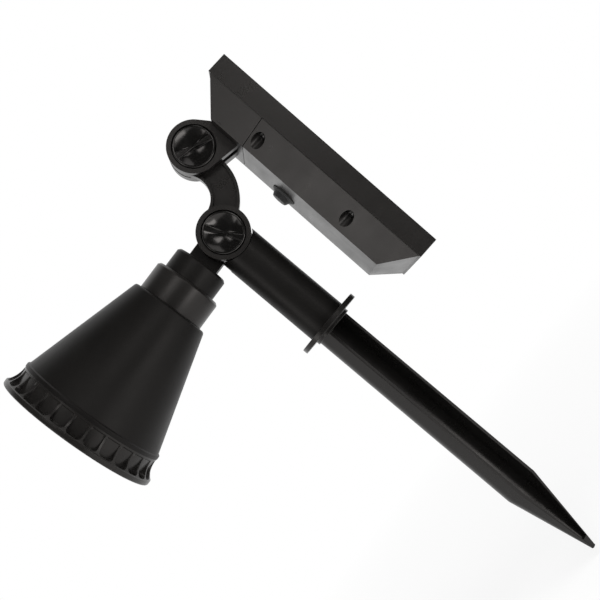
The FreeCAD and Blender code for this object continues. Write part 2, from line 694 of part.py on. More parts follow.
def upper_knob_frame(item):
    put(item, x="upper_pivot_x", z="upper_pivot_z", axis=Y_AXIS, angle="upper_knob_turn")


make_knob("lower", "stem_ear_flat", lower_knob_frame)
make_knob("upper", "far_ear_far", upper_knob_frame)
make_nut("lower_hinge_nut", "stem_ear_flat", lambda item: at_lower_pivot(item, "0"))
make_nut("upper_hinge_nut", "far_ear_far", panel_frame)


def friction_ring(name, y_from, y_to, x="0"):
    outer = pin(name + "_outer", "ring_outer", y_from, y_to, x=x)
    inner = pin(name + "_inner", "ring_inner", y_from + " - overrun", y_to + " + overrun", x=x)
    return cut(name, outer, inner)


# ---------------------------------------------------------------- arm

def arc_band(name, inner, outer, y_from, y_to):
    """Part of a flat ring between the two pivots, bulging to the panel's side."""
    where = {"x": "arm_reach/2", "z": "arm_bow"}
    disc = pin(name + "_disc", outer, y_from, y_to, **where)
    hole = pin(name + "_hole", inner, y_from + " - overrun", y_to + " + overrun", **where)
    low = "0 - arm_bow - 2*arm_width"
    sector = plate(name + "_sector", [("arm_reach/2", "arm_bow"),
                                      ("0 - arm_reach/2", "0 - arm_bow"),
                                      ("0 - arm_reach/2", low), ("3*arm_reach/2", low),
                                      ("3*arm_reach/2", "0 - arm_bow")], y_from, y_to)
    return common(name, cut(name + "_ring", disc, hole), sector)


def make_arm():
    reach = "arm_reach"
    lower = pin("arm_lower_hub", "hub_radius", "0 - near_face", "lower_hub_far")
    upper = pin("arm_upper_hub", "upper_hub_radius", "arm_near", "arm_far", x=reach)
    bar = arc_band("arm_bar", "arc_inner", "arc_outer", "arm_near", "arm_far")
    tongue_space = pin("tongue_space", "tongue_round + tongue_room", "lower_hub_far",
                       "arm_far + overrun")
    whole = fuse("arm_blank", lower, upper, cut("arm_bar_cut", bar, tongue_space))
    rims = ("arc_inner + arm_rim", "arc_outer - arm_rim")
    sinks = []
    for name, y_from, y_to in (("near_sink", "arm_near - overrun", "arm_near + arm_sink"),
                               ("far_sink", "arm_far - arm_sink", "arm_far + overrun")):
        sunk = arc_band(name, rims[0], rims[1], y_from, y_to)
        hubs = fuse(name + "_hubs",
                    pin(name + "_low", "hub_radius", "0 - 2*near_face", "2*near_face"),
                    pin(name + "_high", "hub_radius", "0 - 2*near_face", "2*near_face", x=reach))
        sinks.append(cut(name + "_cut", sunk, hubs))
    depth = "(ring_thickness - ring_proud)"
    node("hinge_arm", cut_all(
        "arm_cut", whole, sinks[0], sinks[1],
        pin("arm_low_hole", "bolt_hole", "0 - near_face", "near_face"),
        pin("arm_low_cup", "cup_radius", "0 - near_face - overrun", "cup_floor"),
        pin("arm_low_hub_hole", "knob_hub_hole", "0 - near_face", "knob_hub_end + hinge_gap"),
        pin("arm_high_hole", "bolt_hole", "0 - near_face", "near_face", x=reach),
        pin("arm_high_hub_hole", "knob_hub_hole", "0 - near_face", "knob_hub_end + hinge_gap",
            x=reach),
        friction_ring("groove_low_far", "lower_hub_far - " + depth, "lower_hub_far + overrun"),
        friction_ring("groove_high_near", "arm_near - overrun", "arm_near + " + depth, reach),
        friction_ring("groove_high_far", "arm_far - " + depth, "arm_far + overrun", reach)),
        arm_frame)
    node("arm_friction_rings", group(
        "arm_rings",
        friction_ring("ring_low_far", "lower_hub_far - " + depth, "lower_hub_far + ring_proud"),
        friction_ring("ring_high_near", "arm_near - ring_proud", "arm_near + " + depth, reach),
        friction_ring("ring_high_far", "arm_far - " + depth, "arm_far + ring_proud", reach)),
        arm_frame)


make_arm()


# ---------------------------------------------------------------- lamp head

def make_neck():
    tongue = fuse("neck_tongue",
                  pin("tongue_end", "tongue_round", "tongue_near", "tongue_far"),
                  block("tongue_bar", "0 - tongue_width/2", "tongue_width/2",
                        "tongue_near", "tongue_far", "0", "neck_start + overrun"))
    collar = turned("neck_collar", [
        ("0", "neck_start"), ("neck_radius - neck_bevel", "neck_start"),
        ("neck_radius", "neck_start + neck_bevel"), ("neck_radius", "neck_end"),
        ("spigot_radius", "neck_end"), ("spigot_radius", "spigot_end"),
        ("spigot_bore", "spigot_end"), ("spigot_bore", "neck_start + neck_floor"),
        ("0", "neck_start + neck_floor")])
    depth = "(ring_thickness - ring_proud)"
    node("lamp_neck", cut_all(
        "neck_cut", fuse("neck_blank", tongue, collar),
        pin("neck_bolt_hole", "bolt_hole", "0 - near_face", "near_face"),
        friction_ring("neck_groove", "tongue_far - " + depth, "tongue_far + overrun")), lamp_frame)
    node("neck_friction_ring",
         friction_ring("neck_ring", "tongue_far - " + depth, "tongue_far + ring_proud"),
         lamp_frame)


def make_spacer_and_locknut():
    node("neck_spacer_ring", turned("spacer", [
        ("spigot_hole", "neck_end"), ("ring_radius - neck_bevel", "neck_end"),
        ("ring_radius", "neck_end + neck_bevel"), ("ring_radius", "shell_top"),
        ("spigot_hole", "shell_top")]), lamp_frame)
    seat = "shell_top + shell_roof"
    node("neck_locknut", turned("locknut", [
        ("spigot_hole", seat), ("locknut_radius", seat),
        ("locknut_radius", seat + " + locknut_thickness"),
        ("spigot_hole", seat + " + locknut_thickness")]), lamp_frame)


def shell_inside(height):
    """Inner radius of the conical shell at a height."""
    return ("shell_top_radius + shell_slope*(%s - shell_top - shell_shoulder) - shell_wall"
            % height)


def make_shell(screw_spaces):
    ceiling = "shell_top + shell_roof"
    ledge_low = "board_back - ledge_height"
    ledge_root = "board_back - 2*ledge_height"
    bead = "shell_bottom_radius + shell_bead"
    whole = turned("shell", [
        ("spigot_hole", "shell_top"), ("shell_top_radius - shell_shoulder", "shell_top"),
        ("shell_top_radius - shoulder_curve", "shell_top + shoulder_curve"),
        ("shell_top_radius", "shell_top + shell_shoulder"),
        ("shell_bottom_radius", "shell_end - shell_bead_length - bead_slope"),
        (bead, "shell_end - shell_bead_length"), (bead, "shell_end"),
        ("shell_spigot_radius", "shell_end"), ("shell_spigot_radius", "seal_back"),
        ("shell_spigot_inner", "seal_back"), ("shell_spigot_inner", "board_back"),
        ("shell_spigot_inner - ledge_width", "board_back"),
        ("shell_spigot_inner - ledge_width", ledge_low),
        (shell_inside("(" + ledge_root + ")"), ledge_root),
        (shell_inside("(" + ceiling + ")"), ceiling), ("spigot_hole", ceiling)])
    node("lamp_shell", cut("shell_cut", whole, screw_spaces), lamp_frame)


def make_bezel():
    """Flared ring with a plain front lip and flutes between thin ribs."""
    body = turned("bezel", [
        ("bezel_bore", "shell_end"), ("shell_bottom_radius + bezel_root", "shell_end"),
        ("bezel_radius - bezel_step - bezel_hollow",
         "bezel_end - bezel_lip - bezel_hollow_length"),
        ("bezel_radius - bezel_step", "bezel_end - bezel_lip"),
        ("bezel_radius", "bezel_end - bezel_lip + bezel_edge/2"),
        ("bezel_radius", "bezel_end - bezel_edge"), ("bezel_radius - bezel_edge", "bezel_end"),
        ("bezel_throat", "bezel_end"), ("bezel_throat", "lens_front"),
        ("bezel_bore", "lens_front")])
    flute = body.newObject("PartDesign::SubtractiveBox", "flute")
    width = "2*pi*bezel_radius/flute_count - flute_rib"
    low = "shell_end + flute_margin"
    bind(flute, Length="bezel_radius", Width=width,
         Height="bezel_end - bezel_lip - bezel_edge/2 - (%s)" % low)
    put(flute, x="flute_floor", y="0 - (%s)/2" % width, z=low)
    around = body.newObject("PartDesign::PolarPattern", "flutes")
    around.Originals = [flute]
    around.Axis = (origin_plane(body, "Z_Axis"), [""])
    around.Angle = 360
    around.setExpression("Occurrences", formula("flute_count"))
    body.Tip = around
    node("bezel_ring", body, lamp_frame)


def make_lens_and_seal():
    edge = "shell_spigot_radius - fit_gap"
    disc = post("lens_disc", edge, "lens_back", "lens_front")
    node("lamp_lens", group("lens", disc), lamp_frame)
    node("lens_seal", turned("seal", [
        ("shell_spigot_radius - seal_width", "seal_back"), (edge, "seal_back"),
        (edge, "lens_back"), ("shell_spigot_radius - seal_width", "lens_back")]), lamp_frame)


def around_lamp(name, item, count, index, offset="0"):
    """Turn a piece about the lamp's axis to one of a number of equal places."""
    holder = doc.addObject("Part::Compound", name)
    holder.Links = [item]
    return put(holder, axis=Z_AXIS, angle="%s + %d*360/%s" % (offset, index, count))


def make_light_engine():
    outer_count = int(sheet.get("outer_led_count"))
    screw_count = int(sheet.get("board_screw_count"))
    cup_end = "lens_back - lens_gap"

    def chip(name, x):
        return block(name, x + " - led_size/2", x + " + led_size/2", "0 - led_size/2",
                     "led_size/2", "board_front", "board_front + led_height")

    def cup(name, x):
        cone = doc.addObject("Part::Cone", name)
        bind(cone, Radius1="cup_back_radius", Radius2="cup_front_radius",
             Height=cup_end + " - board_front")
        return put(cone, x=x, z="board_front")

    def screw(name, grow):
        head = post(name + "_head", "small_head_radius + " + grow, "board_front",
                    "board_front + small_head_height + " + grow, x="board_screw_circle")
        shank = post(name + "_shank", "small_shank_radius", "board_front - small_shank_length",
                     "board_front", x="board_screw_circle")
        return fuse(name, head, shank)

    chips = [chip("chip_middle", "0")]
    cups = [cup("cup_middle", "0")]
    for index in range(outer_count):
        number = str(index + 1)
        chips.append(around_lamp("chip_" + number, chip("chip_flat_" + number, "led_circle"),
                                 "outer_led_count", index))
        cups.append(around_lamp("cup_" + number, cup("cup_straight_" + number, "led_circle"),
                                "outer_led_count", index))
    screws = []
    recesses = []
    for index in range(screw_count):
        number = str(index + 1)
        half_step = "180/outer_led_count"
        screws.append(around_lamp("board_screw_" + number, screw("plain_screw_" + number, "0"),
                                  "board_screw_count", index, half_step))
        recesses.append(around_lamp("screw_room_" + number, screw("wide_screw_" + number, "0.3"),
                                    "board_screw_count", index, half_step))
    holes = group("board_screw_spaces", *screws)
    board = post("board_disc", "board_radius", "board_back", "board_front")
    node("led_board", cut("board_cut", board, holes), lamp_frame)
    node("led_chips", group("chips", *chips), lamp_frame)
    node("led_board_screws", group("screws", *screws), lamp_frame)
    plain = post("reflector_disc", "shell_spigot_inner - reflector_gap", "board_front", cup_end)
    hollows = group("reflector_hollows", *cups)
    rooms = group("reflector_rooms", *recesses)
    node("reflector", cut("reflector_cut", cut("reflector_cups", plain, hollows), rooms),
         lamp_frame)
    return holes


make_neck()
make_spacer_and_locknut()
make_bezel()
make_lens_and_seal()
make_shell(make_light_engine())


# ---------------------------------------------------------------- panel case

def case_outside(name):
    rise = "(case_ledge + end_inset)"
    return sloped_box(name, "panel_back", "rim_x", "back_half", "step_half",
                      ("panel_bottom + " + rise, "panel_top - " + rise),
                      ("panel_bottom + case_ledge", "panel_top - case_ledge"))


def case_inside(name):
    rise = "(case_ledge + end_inset + back_corner)"
    return sloped_box(name, "panel_back + back_wall", "rim_x", "back_half - back_corner",
                      "room_half", ("panel_bottom + " + rise, "panel_top - " + rise),
                      ("room_bottom", "room_top"))


def case_slice(name, z_from, z_to):
    return block(name, "panel_back - overrun", "rim_x + overrun", "0 - half_width", "half_width",
                 z_from, z_to)


def screw_places():
    """Side and height of the four screws of the battery cover."""
    return [(side + "cover_screw_side", height) for side in ("0 - ", "")
            for height in ("cover_screw_high - cover_screw_pitch", "cover_screw_high")]


def block_screw_places():
    return [(side + "block_screw_side", "0 - block_screw_below") for side in ("0 - ", "")]


def studs(name, places, radius, x_from, x_to):
    """One cylinder along X at each place."""
    return [stud("%s_%d" % (name, index + 1), radius, x_from, x_to, y, z)
            for index, (y, z) in enumerate(places)]


def gasket_ring(name):
    outer = "half_width - gasket_inset"
    inner = outer + " - gasket_width"
    high = "panel_top - gasket_inset"
    low = "panel_bottom + gasket_inset"
    around = block(name + "_around", "rim_x", "rim_x + gasket_depth", "0 - (%s)" % outer,
                   outer, low, high)
    within = block(name + "_within", "rim_x - overrun", "rim_x + gasket_depth + overrun",
                   "0 - (%s)" % inner, inner, low + " + gasket_width",
                   high + " - gasket_width")
    return cut(name, around, within)


def make_solar_frame():
    border = "half_width - window_border"
    outside = block("frame_block", "rim_x", "front_x", "0 - half_width", "half_width",
                    "panel_bottom", "panel_top")
    window = block("frame_window", "floor_front", "front_x + overrun", "0 - (%s)" % border, border,
                   "panel_bottom + window_border", "panel_top - window_border")
    room = block("frame_room", "rim_x - overrun", "floor_back", "0 - room_half", "room_half",
                 "room_bottom", "room_top")
    cover_bosses = studs("frame_boss", screw_places(), "frame_boss_radius", "rim_x",
                         "floor_back + frame_floor/2")
    block_bosses = studs("frame_block_boss", block_screw_places(), "frame_boss_radius",
                         "block_boss_x", "floor_back + frame_floor/2")
    whole = fuse("frame_blank", cut_all("frame_hollow", outside, window, room),
                 *(cover_bosses + block_bosses))
    shank = "screw_shank_radius + screw_gap"
    holes = studs("frame_hole", screw_places(), shank, "rim_x - overrun", "floor_back - screw_end")
    holes += studs("frame_block_hole", block_screw_places(), shank, "block_boss_x - overrun",
                   "front_x")
    holes += studs("frame_head_hole", block_screw_places(), "screw_head_radius + screw_gap",
                   "block_seat_x", "front_x")
    node("solar_frame", cut_all("frame_cut", whole, gasket_ring("gasket_groove"), *holes),
         panel_frame)
    node("case_gasket", gasket_ring("gasket"), panel_frame)


def make_battery_cover():
    below = case_slice("cover_slice", "panel_bottom - overrun", "seam_z - seam_gap/2")
    outside = common("cover_outside", case_outside("cover_whole"), below)
    hollow = cut("cover_shell", outside, case_inside("cover_room"))
    boss_blanks = fuse("cover_boss_blanks", *studs("cover_boss", screw_places(),
                                                   "cover_boss_radius", "panel_back", "rim_x"))
    bosses = common("cover_bosses", boss_blanks, case_outside("cover_boss_limit"))
    board_posts = studs("board_post", board_post_places(), "post_radius",
                        "panel_back + back_wall/2", "board_x")
    whole = fuse("cover_blank", hollow, bosses, *board_posts)
    recesses = studs("cover_recess", screw_places(), "cover_hole_radius", "panel_back - overrun",
                     "screw_seat_x")
    holes = studs("cover_hole", screw_places(), "screw_shank_radius + screw_gap",
                  "screw_seat_x - overrun", "rim_x + overrun")
    holes += studs("board_post_hole", board_post_places(), "small_shank_radius",
                   "board_x + circuit_thickness - small_shank_length", "board_x + overrun")
    plunger_hole = stud("plunger_hole", "plunger_radius + button_slide_gap", "panel_back - overrun",
                        "panel_back + back_wall + overrun", "switch_side", "switch_z")
    node("battery_cover", cut_all("cover_cut", whole, plunger_hole, *(recesses + holes)),
         panel_frame)


def ear(name, y_from, y_to):
    """Round ear and its root on the back of the hinge block."""
    root = "panel_back + back_wall/2"
    disc = pin(name + "_disc", "hub_radius", y_from, y_to)
    web = plate(name + "_root", [("0", "0 - hub_radius"), (root, "0 - ear_root_low"),
                                 (root, "ear_root_high"),
                                 ("hub_radius*cos(ear_web_angle*1deg)",
                                  "hub_radius*sin(ear_web_angle*1deg)"), ("0", "0")],
                y_from, y_to)
    return fuse(name, disc, web)


def make_hinge_block():
    start = "seam_z + seam_gap/2"
    above = case_slice("block_slice", start, "panel_top + overrun")
    outside = common("block_outside", case_outside("block_whole"), above)
    room_slice = case_slice("block_room_slice", start + " + block_web", "panel_top + overrun")
    room = common("block_room", case_inside("block_inside"), room_slice)
    posts = studs("block_post", block_screw_places(), "frame_boss_radius",
                  "panel_back + back_wall/2", "block_boss_x")
    near = ear("near_ear_whole", "0 - near_face", "0 - near_face + near_ear")
    far = ear("far_ear_whole", "far_ear_near", "far_ear_far")
    whole = fuse("block_blank", cut("block_shell", outside, room), near, far, *posts)
    holes = studs("block_screw_hole", block_screw_places(), "screw_shank_radius",
                  "block_boss_x - block_screw_grip", "block_boss_x + overrun")
    node("hinge_block", cut_all(
        "block_cut", whole,
        pin("block_cup", "cup_radius", "0 - near_face - overrun", "cup_floor"),
        pin("block_hub_hole", "knob_hub_hole", "0 - near_face", "0 - near_face + near_ear + overrun"),
        pin("block_bolt_hole", "bolt_hole", "0", "far_ear_far + overrun"),
        hexagon("block_nut_pocket", "nut_flats + nut_room", "far_ear_far - nut_thickness",
                "far_ear_far + overrun"), *holes), panel_frame)


def case_screw(name, y, z, seat_x, end_x, sign):
    """Slotted screw: its head stands on the seat on the back side (-) or front side (+)."""
    head_end = "(%s) %s screw_head_height" % (seat_x, sign)
    slot_floor = "%s %s slot_depth" % (head_end, "+" if sign == "-" else "-")
    past = "%s %s overrun" % (head_end, sign)
    head = [head_end, seat_x]
    shank = [seat_x, end_x]
    slot = [past, slot_floor]
    if sign == "+":
        for ends in (head, shank, slot):
            ends.reverse()
    whole = fuse(name + "_blank",
                 stud(name + "_head", "screw_head_radius", head[0], head[1], y, z),
                 stud(name + "_shank", "screw_shank_radius", shank[0], shank[1], y, z))
    return cut(name, whole, block(name + "_slot", slot[0], slot[1],
                                  "%s - slot_length/2" % y, "%s + slot_length/2" % y,
                                  "%s - slot_width/2" % z, "%s + slot_width/2" % z))


def make_case_screws():
    covers = [case_screw("cover_screw_%d" % (index + 1), y, z, "screw_seat_x",
                         "floor_back - screw_end - screw_tip_gap", "-")
              for index, (y, z) in enumerate(screw_places())]
    node("battery_cover_screws", group("cover_screws", *covers), panel_frame)
    blocks = [case_screw("block_screw_%d" % (index + 1), y, z, "block_seat_x",
                         "block_boss_x - block_screw_grip + screw_tip_gap", "+")
              for index, (y, z) in enumerate(block_screw_places())]
    node("hinge_block_screws", group("block_screws", *blocks), panel_frame)


def sheet_block(name, x_from, x_to):
    """Flat sheet that fills the frame's window."""
    half = "half_width - window_border - sheet_gap"
    return group(name, block(name + "_block", x_from, x_to, "0 - (%s)" % half, half,
                             "panel_bottom + window_border + sheet_gap",
                             "panel_top - window_border - sheet_gap"))


def make_solar_sheets():
    backing_front = "floor_front + backing_thickness"
    cell_front = backing_front + " + cell_thickness"
    node("solar_backing", sheet_block("backing", "floor_front", backing_front), panel_frame)
    count = int(sheet.get("cell_count"))
    length = "panel_length - 2*window_border - 2*cell_border"
    pitch = "(%s + cell_spacing)/cell_count" % length
    half = "half_width - window_border - cell_border"
    cells = []
    for index in range(count):
        start = "panel_bottom + window_border + cell_border + %d*(%s)" % (index, pitch)
        cells.append(block("cell_%d" % (index + 1), backing_front, cell_front,
                           "0 - (%s)" % half, half, start,
                           "%s + %s - cell_spacing" % (start, pitch)))
    node("solar_cells", group("cells", *cells), panel_frame)
    node("solar_clear_sheet", sheet_block("clear", cell_front, cell_front + " + clear_sheet"),
         panel_frame)


# ---------------------------------------------------------------- inside the case

def board_post_places():
    return [("post_side", "switch_z %s post_spacing/2" % sign) for sign in ("-", "+")]


def make_battery():
    side = "0 - battery_side"
    node("battery_cell", fuse(
        "cell_whole",
        post("cell_can", "battery_radius", "battery_low", "battery_high", "battery_x", side),
        post("cell_pole", "battery_cap_radius", "battery_high",
             "battery_high + battery_cap_height", "battery_x", side)), panel_frame)
    low = "battery_low - contact_room"
    high = "battery_high + contact_room"
    y_from = side + " - battery_radius + holder_inset"
    y_to = side + " + battery_radius - holder_inset"
    base = block("holder_base_plate", "floor_back - holder_base", "floor_back", y_from, y_to,
                 low + " - holder_wall", high + " + holder_wall")
    wall_from = "battery_x - holder_rise"
    low_wall = block("holder_low_wall", wall_from, "floor_back", y_from, y_to,
                     low + " - holder_wall", low)
    high_wall = block("holder_high_wall", wall_from, "floor_back", y_from, y_to, high,
                      high + " + holder_wall")
    node("battery_holder", fuse("holder_whole", base, low_wall, high_wall), panel_frame)
    top_x = "floor_back - holder_base"
    low_plate = block("low_plate", wall_from, top_x, y_from, y_to, low,
                      low + " + contact_thickness")
    spring = doc.addObject("Part::Cone", "contact_spring")
    bind(spring, Radius1="spring_wide", Radius2="spring_narrow",
         Height="contact_room - contact_thickness")
    put(spring, "battery_x", side, low + " + contact_thickness")
    high_plate = block("high_plate", wall_from, top_x, y_from, y_to,
                       high + " - contact_thickness", high)
    dimple = post("contact_dimple", "dimple_radius", "battery_high + battery_cap_height",
                  high + " - contact_thickness", "battery_x", side)
    node("battery_contacts", group("contacts", fuse("low_contact", low_plate, spring),
                                   fuse("high_contact", high_plate, dimple)), panel_frame)


def make_circuit():
    back = "board_x + circuit_thickness"
    holes = studs("circuit_hole", board_post_places(), "small_shank_radius", "board_x - overrun",
                  back + " + overrun")
    plate_block = block("circuit_plate", "board_x", back, "circuit_near_edge",
                        "circuit_near_edge + circuit_width", "board_low",
                        "board_low + circuit_length")
    node("control_board", cut_all("circuit_cut", plate_block, *holes), panel_frame)
    heads = studs("circuit_head", board_post_places(), "small_head_radius", back,
                  back + " + small_head_height")
    shanks = studs("circuit_shank", board_post_places(), "small_shank_radius",
                   back + " - small_shank_length", back)
    node("control_board_screws", group("circuit_screws", *[
        fuse("circuit_screw_%d" % (index + 1), head, shank)
        for index, (head, shank) in enumerate(zip(heads, shanks))]), panel_frame)

    def box_part(word):
        middle = "board_low + %s_place" % word
        return block("circuit_" + word, back, "%s + %s_height" % (back, word),
                     "circuit_part_side - %s_width/2" % word,
                     "circuit_part_side + %s_width/2" % word,
                     "%s - %s_length/2" % (middle, word), "%s + %s_length/2" % (middle, word))

    def round_part(word):
        return stud("circuit_" + word, word + "_radius", back,
                    "%s + %s_height" % (back, word), "circuit_part_side",
                    "board_low + %s_place" % word)

    node("control_board_parts", group("circuit_parts", box_part("chip"), round_part("coil"),
                                      round_part("capacitor"), box_part("socket")), panel_frame)
    half = "switch_size/2"
    body = block("switch_block", "switch_top_x", "board_x", "switch_side - " + half,
                 "switch_side + " + half, "switch_z - " + half, "switch_z + " + half)
    well = stud("switch_well_space", "switch_stem_radius + fit_gap", "switch_top_x - overrun",
                "switch_top_x + switch_well", "switch_side", "switch_z")
    node("mode_switch", cut("switch_cut", body, well), panel_frame)


def round_on_back(name, corners):
    """Piece turned about the mode button's axis; heights count out of the case's back."""
    holder = doc.addObject("Part::Compound", name + "_turn")
    holder.Links = [turned(name, corners)]
    return put(holder, x="panel_back", y="switch_side", z="switch_z", axis=Y_AXIS,
               angle="0 - 90")


def make_mode_button():
    inner = "button_base_radius - button_ring_width"
    cap = inner + " - button_slide_gap"
    foot = round_on_back("foot", [
        (inner, "0"), ("button_base_radius", "0"), ("button_base_radius", "button_foot_edge"),
        (inner + " + button_foot_top", "button_foot"), (inner, "button_foot")])
    node("button_foot_ring", group("foot_whole", foot), panel_frame)
    end = "panel_back + switch_stem_height - switch_top_x"
    cap_body = round_on_back("cap", [
        ("0", "button_height"), ("button_top_radius - button_edge", "button_height"),
        ("button_top_radius", "button_height - button_edge"), (cap, "button_foot"),
        (cap, "button_room"), ("plunger_radius", "button_room"),
        ("plunger_radius", end), ("0", end)])
    node("mode_button", group("cap_whole", cap_body), panel_frame)
    stem = stud("stem_of_switch", "switch_stem_radius", "switch_top_x - switch_stem_height",
                "switch_top_x + switch_stem_root", "switch_side", "switch_z")
    node("switch_stem", group("stem_whole", stem), panel_frame)


make_solar_frame()
make_battery_cover()
make_hinge_block()
make_case_screws()
make_solar_sheets()
make_battery()
make_circuit()
make_mode_button()


# ---------------------------------------------------------------- finish

doc.recompute()
for item in doc.Objects:
    if "Invalid" in item.State or "Error" in item.State:
        raise RuntimeError("%s failed: %s" % (item.Label, item.State))
os.makedirs("parts", exist_ok=True)
for item in nodes:
    shape = item.Shape
    if shape.isNull() or not shape.isValid() or not shape.Solids:
        raise RuntimeError("%s has no valid solid" % item.Label)
    shape.exportStep("parts/%s.step" % item.Label)
    print("%-24s %2d solid %10.1f mm3" % (item.Label, len(shape.Solids), shape.Volume))
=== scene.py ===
"""Garden spike spotlight: the looks of the part and the studio round it.

Frame of the part: origin on the spike's axis at the underside of the ground flange, +Z up along
the stem, hinge axes along Y. The lamp points to -X, the solar face looks to +X. Lengths in metres.
"""
import json
from math import asin, atan2, cos, pi, radians, sin, sqrt, tan

import bmesh
import bpy
from bpy.props import FloatProperty, FloatVectorProperty, IntProperty, PointerProperty
from mathutils import Euler, Matrix, Vector


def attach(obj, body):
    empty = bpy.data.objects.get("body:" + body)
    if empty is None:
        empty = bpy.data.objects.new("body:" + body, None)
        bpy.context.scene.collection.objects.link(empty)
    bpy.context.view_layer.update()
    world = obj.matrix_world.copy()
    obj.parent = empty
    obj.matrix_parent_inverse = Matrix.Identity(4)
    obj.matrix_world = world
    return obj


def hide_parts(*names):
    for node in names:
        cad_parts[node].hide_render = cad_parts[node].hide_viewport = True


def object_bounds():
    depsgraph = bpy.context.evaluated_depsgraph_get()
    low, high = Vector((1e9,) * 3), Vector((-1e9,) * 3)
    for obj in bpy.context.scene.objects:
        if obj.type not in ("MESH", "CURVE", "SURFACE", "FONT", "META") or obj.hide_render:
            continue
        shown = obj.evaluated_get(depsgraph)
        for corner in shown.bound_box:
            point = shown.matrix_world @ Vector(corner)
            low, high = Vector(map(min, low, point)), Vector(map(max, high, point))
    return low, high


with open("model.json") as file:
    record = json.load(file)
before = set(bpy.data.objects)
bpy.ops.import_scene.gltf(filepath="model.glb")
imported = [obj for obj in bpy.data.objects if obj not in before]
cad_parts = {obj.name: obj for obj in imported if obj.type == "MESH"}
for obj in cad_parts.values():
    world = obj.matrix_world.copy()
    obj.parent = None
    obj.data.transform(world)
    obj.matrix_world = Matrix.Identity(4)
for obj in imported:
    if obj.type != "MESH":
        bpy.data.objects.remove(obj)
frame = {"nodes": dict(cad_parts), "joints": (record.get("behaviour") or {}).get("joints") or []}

CAD_BOX = [list(corner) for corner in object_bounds()]

bl_info = {
    "name": "Garden spike spotlight",
    "version": (1, 0, 0),
    "blender": (4, 5, 0),
    "location": "3D View > Sidebar > Spotlight",
    "description": "Finishes and moulded details of a solar garden spotlight on a ground spike",
    "category": "Object",
}

MM = 0.001
SAME_POINT = 1e-7  # metres between corners of a turned mesh that are one
SAME_CORNER = 2e-6  # the same of a CAD node, and the length of an edge that counts as none
ONE_PLANE = radians(0.2)  # bend between faces that make one plane
SHARP_EDGE = radians(30)  # bend at which a CAD node's edge is rounded and stays sharp
ROUNDING_SHARE = 1 / 2.1  # most of a side that one corner's rounding takes up
ROUND_STEPS = 128  # points round a turned piece
SHELL_STEPS = 224  # points round the lamp shell
BUTTON_STEPS = 96  # points round the mode button
SENSOR_WIDTH = 36.0  # camera's sensor, in millimetres
WHITE = (1.0, 1.0, 1.0, 1.0)
# painted warm light: a tint of warm studio light, painted into the plastics' gloss in place of
# warmer lamps
PAINTED_WARM_LIGHT_TINT = (1.0, 0.95, 0.92, 1.0)
MIX_COLOURS = (6, 7)  # colour inputs of the mix node
MIX_RESULT = 2  # its colour output
JOINTS = {joint["name"]: joint for joint in frame["joints"]}
LOWER_PIVOT = Vector(JOINTS["arm_swing"]["pos_m"])
UPPER_PIVOT = Vector(JOINTS["panel_tilt"]["pos_m"])


# ---- sizes and colours

def length(name, description, default):
    """A size in millimetres as a property in metres."""
    return FloatProperty(name=name, description=description, default=default * MM,
                         unit="LENGTH", precision=5)


def turn(name, description, degrees):
    return FloatProperty(name=name, description=description, default=radians(degrees),
                         subtype="ANGLE")


def share(name, description, default):
    return FloatProperty(name=name, description=description, default=default, min=0.0, max=1.0,
                         subtype="FACTOR")


def amount(name, description, default):
    return FloatProperty(name=name, description=description, default=default, min=0.0)


def number(name, description, default, least, most):
    return IntProperty(name=name, description=description, default=default, min=least, max=most)


def colour(name, description, default):
    return FloatVectorProperty(name=name, description=description, default=default, size=3,
                               min=0.0, max=1.0, subtype="COLOR")


